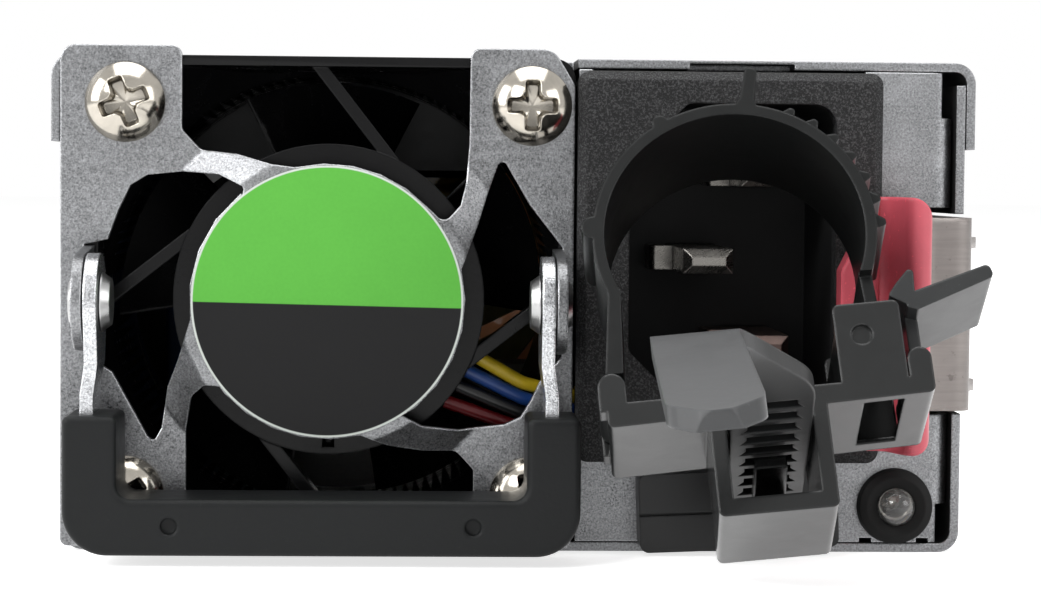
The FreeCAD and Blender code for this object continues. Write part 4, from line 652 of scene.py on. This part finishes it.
def fan_housing():
    """Fan frame whose motor carrier hangs on four struts swept round with the airflow."""
    carrier_radius, clear_radius, setback = 12.4 * MM, 15.0 * MM, 0.4 * MM
    axis = box_middle("bearing_tube")
    centre = Vector((axis[0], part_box("fan_frame")[0][1] + setback, axis[2]))
    bm = bmesh.new()
    bm.from_mesh(nodes["fan_frame"].data)
    bmesh.ops.remove_doubles(bm, verts=bm.verts, dist=WELD)
    inside = [face for face in bm.faces
              if any(math.hypot(v.co.x - centre.x, v.co.z - centre.z) < clear_radius for v in face.verts)]
    bmesh.ops.delete(bm, geom=inside, context="FACES")
    bmesh.ops.holes_fill(bm, edges=[edge for edge in bm.edges if edge.is_boundary], sides=0)
    spin_carrier(bm, centre, carrier_radius)
    for quarter in range(4):
        about = Matrix.Translation(centre) @ seen_from_front(90.0 * quarter)
        swept_strut(bm, about, centre, carrier_radius)
    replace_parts(rounded_piece("fan_housing", bm, fan_black), "fan_frame")


def shade_sheet():
    """Black film put behind the fan and beside the inlet as painted shade: it closes and darkens the space
    above the parts.
    """
    gap, behind_fan, beside_inlet, below_cover = 0.2 * MM, 1.0 * MM, 4.0 * MM, 1.2 * MM
    thickness, corner = 0.4 * MM, 1.5 * MM
    fan_low, fan_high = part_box("fan_frame")
    left, inner, right = fan_low[0] - gap, fan_high[0] + gap, fan_high[0] + beside_inlet
    bottom, under, top = 3.0 * MM, 30.4 * MM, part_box("top_cover")[1][2] - below_cover
    back = fan_high[1] + behind_fan
    outline = ((left, top), (left, under), (inner, under), (inner, bottom), (right, bottom), (right, top))
    bm = bmesh.new()
    sheet = bm.faces.new([bm.verts.new((x, back, z)) for x, z in outline])
    bmesh.ops.bevel(bm, geom=list(sheet.verts), offset=corner, segments=4, profile=0.5, affect="VERTICES",
                    material=-1)
    grown = bmesh.ops.extrude_face_region(bm, geom=list(bm.faces))["geom"]
    bmesh.ops.translate(bm, verts=only(bmesh.types.BMVert, grown), vec=(0.0, thickness, 0.0))
    rounded_piece("shade_sheet", bm, film)


def recess_outline():
    """One quarter of a cross recess, in mm: an arm's end and the flared corner up to the next arm."""
    half_arm, arm_end, flare, tip, steps = 0.64, 2.2, 0.55, 0.24, 6
    rounded = 0.3 * tip
    line = [(arm_end, 0.0), (arm_end, half_arm - tip), (arm_end - rounded, half_arm - rounded),
            (arm_end - tip, half_arm)]
    middle = half_arm + flare
    for step in range(steps + 1):
        angle = math.radians(270.0 - 90.0 * step / steps)
        line.append((middle + flare * math.cos(angle), middle + flare * math.sin(angle)))
    line += [(half_arm, arm_end - tip), (half_arm - rounded, arm_end - rounded), (half_arm - tip, arm_end)]
    return line


def spin_screw(bm, centre):
    """Pan head and plain shank, spun about the line along Y through the middle of the head's seat."""
    rings, steps = 9, 56
    radii = [HEAD_RADIUS * k / rings for k in range(rings + 1)]
    profile = [(r, DOME_RADIUS - HEAD_HEIGHT - math.sqrt(DOME_RADIUS ** 2 - r ** 2)) for r in radii]
    profile += [(HEAD_RADIUS, 0.0), (SHANK_RADIUS, 0.0), (SHANK_RADIUS, SHANK_LENGTH), (0.0, SHANK_LENGTH)]
    line = [bm.verts.new(centre + Vector((r, y, 0.0)) * MM) for r, y in profile]
    edges = [bm.edges.new(pair) for pair in zip(line, line[1:])]
    bmesh.ops.spin(bm, geom=line + edges, cent=centre, axis=(0.0, 1.0, 0.0), angle=math.tau, steps=steps,
                   use_merge=True)


def recess_cutter(bm, centre, turn):
    """Cross that starts in front of a head, narrows as it goes in and ends in a blunt point."""
    ahead, depth, point, mouth_scale, taper = 0.4, 1.55, 0.45, 1.12, 0.66
    rim = []
    for quarter in range(4):
        about = seen_from_front(turn + 90.0 * quarter)
        rim += [centre + about @ Vector((u * MM, -(HEAD_HEIGHT + ahead) * MM, v * MM))
                for u, v in recess_outline()]
    mouth = bm.faces.new([bm.verts.new(co) for co in rim])
    from_centre = Matrix.Translation(-centre)
    bmesh.ops.scale(bm, verts=mouth.verts, vec=(mouth_scale, 1.0, mouth_scale), space=from_centre)
    grown = bmesh.ops.extrude_face_region(bm, geom=[mouth])["geom"]
    lower = only(bmesh.types.BMVert, grown)
    bmesh.ops.translate(bm, verts=lower, vec=(0.0, (depth + ahead) * MM, 0.0))
    bmesh.ops.scale(bm, verts=lower, vec=(taper, 1.0, taper), space=from_centre)
    tip = bmesh.ops.poke(bm, faces=only(bmesh.types.BMFace, grown))["verts"]
    bmesh.ops.translate(bm, verts=tip, vec=(0.0, point * MM, 0.0))


def pan_screws():
    """Fan screws: pan heads, each with its cross recess turned its own way."""
    turns = (22.0, 0.0, 35.0, 12.0)
    low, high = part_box("fan_screws")
    seat, inset = high[1] - SHANK_LENGTH * MM, HEAD_RADIUS * MM
    places = [(x, z) for z in (high[2] - inset, low[2] + inset) for x in (low[0] + inset, high[0] - inset)]
    heads, cutters = bmesh.new(), bmesh.new()
    for (x, z), turn in zip(places, turns):
        centre = Vector((x, seat, z))
        spin_screw(heads, centre)
        recess_cutter(cutters, centre, turn)
    bmesh.ops.remove_doubles(heads, verts=heads.verts, dist=WELD)
    for bm in (heads, cutters):
        bmesh.ops.recalc_face_normals(bm, faces=bm.faces)
    blanks, cutter = new_object("screw_blanks", heads), new_object("recess_cutters", cutters)
    cut = blanks.modifiers.new("recess", "BOOLEAN")
    cut.operation = "DIFFERENCE"
    cut.solver = "EXACT"
    cut.object = cutter
    bpy.context.view_layer.update()
    finished = bpy.data.meshes.new_from_object(blanks.evaluated_get(bpy.context.evaluated_depsgraph_get()))
    bm = bmesh.new()
    bm.from_mesh(finished)
    for piece in (blanks, cutter):
        bpy.data.objects.remove(piece)
    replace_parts(rounded_piece("pan_screws", bm, nodes["fan_screws"].data.materials[0]), "fan_screws")


reflector_cup()
fan_housing()
# painted shade: a black sheet that darkens the inside of the case
shade_sheet()
pan_screws()


# ---- camera, light and floor -------------------------------------------------
def aim_camera():
    """Camera in front of the fan end, a little to the left of the middle and turned a little to the right."""
    place = Matrix.Translation((-8.2 * MM, -307.5 * MM, 29.94 * MM))
    yaw = math.radians(2.309)
    pitch = math.radians(2.683)
    roll = math.radians(0.536)
    forward = Vector((math.sin(yaw) * math.cos(pitch), math.cos(yaw) * math.cos(pitch), -math.sin(pitch)))
    right = Vector((math.cos(yaw), -math.sin(yaw), 0))
    up = right.cross(forward)
    right, up = (math.cos(roll) * right + math.sin(roll) * up,
                 -math.sin(roll) * right + math.cos(roll) * up)
    data = bpy.data.cameras.new("camera")
    data.sensor_fit = "HORIZONTAL"
    data.sensor_width = 36.0
    data.lens = 93.41
    data.clip_start = 0.01
    data.clip_end = 20.0
    camera = bpy.data.objects.new("camera", data)
    bpy.context.scene.collection.objects.link(camera)
    turn = Matrix((right, up, -forward)).transposed().to_4x4()
    camera.matrix_world = place @ turn
    bpy.context.scene.camera = camera


def soft_lamp(name, place, target, size, power):
    """Rectangular lamp that faces its target."""
    data = bpy.data.lights.new(name, "AREA")
    data.shape = "RECTANGLE"
    data.size, data.size_y = size
    data.energy = power
    lamp = bpy.data.objects.new(name, data)
    bpy.context.scene.collection.objects.link(lamp)
    away = Vector(place) - Vector(target)
    lamp.rotation_euler = away.to_track_quat("Z", "Y").to_euler()
    lamp.location = place


def seen_directly(tree):
    """1 for rays from the camera, for reflections and through glass."""
    path = tree.nodes.new("ShaderNodeLightPath")
    last = path.outputs["Is Camera Ray"]
    for name in ("Is Glossy Ray", "Is Transmission Ray"):
        either = tree.nodes.new("ShaderNodeMath")
        either.operation = "MAXIMUM"
        tree.links.new(last, either.inputs[0])
        tree.links.new(path.outputs[name], either.inputs[1])
        last = either.outputs[0]
    return last


def studio():
    """White surroundings to look at, softer light from them, and four soft lamps."""
    world = bpy.data.worlds.new("studio")
    bpy.context.scene.world = world
    world.use_nodes = True
    tree = world.node_tree
    tree.nodes.clear()
    glow = tree.nodes.new("ShaderNodeBackground")
    glow.inputs["Strength"].default_value = 0.36
    white = tree.nodes.new("ShaderNodeBackground")
    white.inputs["Color"].default_value = (1.0, 1.0, 1.0, 1.0)
    white.inputs["Strength"].default_value = 1.0
    choose = tree.nodes.new("ShaderNodeMixShader")
    out = tree.nodes.new("ShaderNodeOutputWorld")
    tree.links.new(seen_directly(tree), choose.inputs[0])
    tree.links.new(glow.outputs[0], choose.inputs[1])
    tree.links.new(white.outputs[0], choose.inputs[2])
    tree.links.new(choose.outputs[0], out.inputs[0])
    middle = (0, -0.09, 0.02)
    soft_lamp("key", (-0.46, -0.56, 0.50), middle, (0.34, 0.34), 3.8)
    soft_lamp("fill", (0.60, -0.45, 0.30), middle, (0.40, 0.40), 1.8)
    soft_lamp("top", (0.0, 0.0, 0.8), (0, 0, 0), (0.7, 0.7), 5.0)
    soft_lamp("left edge", (-0.55, -0.15, 0.25), (0, -0.05, 0.02), (0.25, 0.4), 1.8)


def pale_floor():
    """White table; what the camera sees of it is lifted a little, and it keeps the shadow."""
    bm = bmesh.new()
    bmesh.ops.create_grid(bm, x_segments=1, y_segments=1, size=3.0)
    floor = new_object("floor", bm)
    p = Paint("pale floor")
    white = p.surface(Base_Color=(0.90, 0.90, 0.90), Roughness=0.9, Specular_IOR_Level=0.0)
    floor.data.materials.append(white)
    lift = p.tree.nodes.new("ShaderNodeEmission")
    lift.inputs["Strength"].default_value = 0.72
    both = p.tree.nodes.new("ShaderNodeAddShader")
    shader = p.output.inputs["Surface"].links[0].from_socket
    gate = p.tree.nodes.new("ShaderNodeMixShader")
    p.tree.links.new(seen_directly(p.tree), gate.inputs[0])
    p.tree.links.new(lift.outputs[0], gate.inputs[2])
    p.tree.links.new(shader, both.inputs[0])
    p.tree.links.new(gate.outputs[0], both.inputs[1])
    p.tree.links.new(both.outputs[0], p.output.inputs["Surface"])


bpy.context.scene.view_settings.view_transform = "Standard"
aim_camera()
studio()
pale_floor()
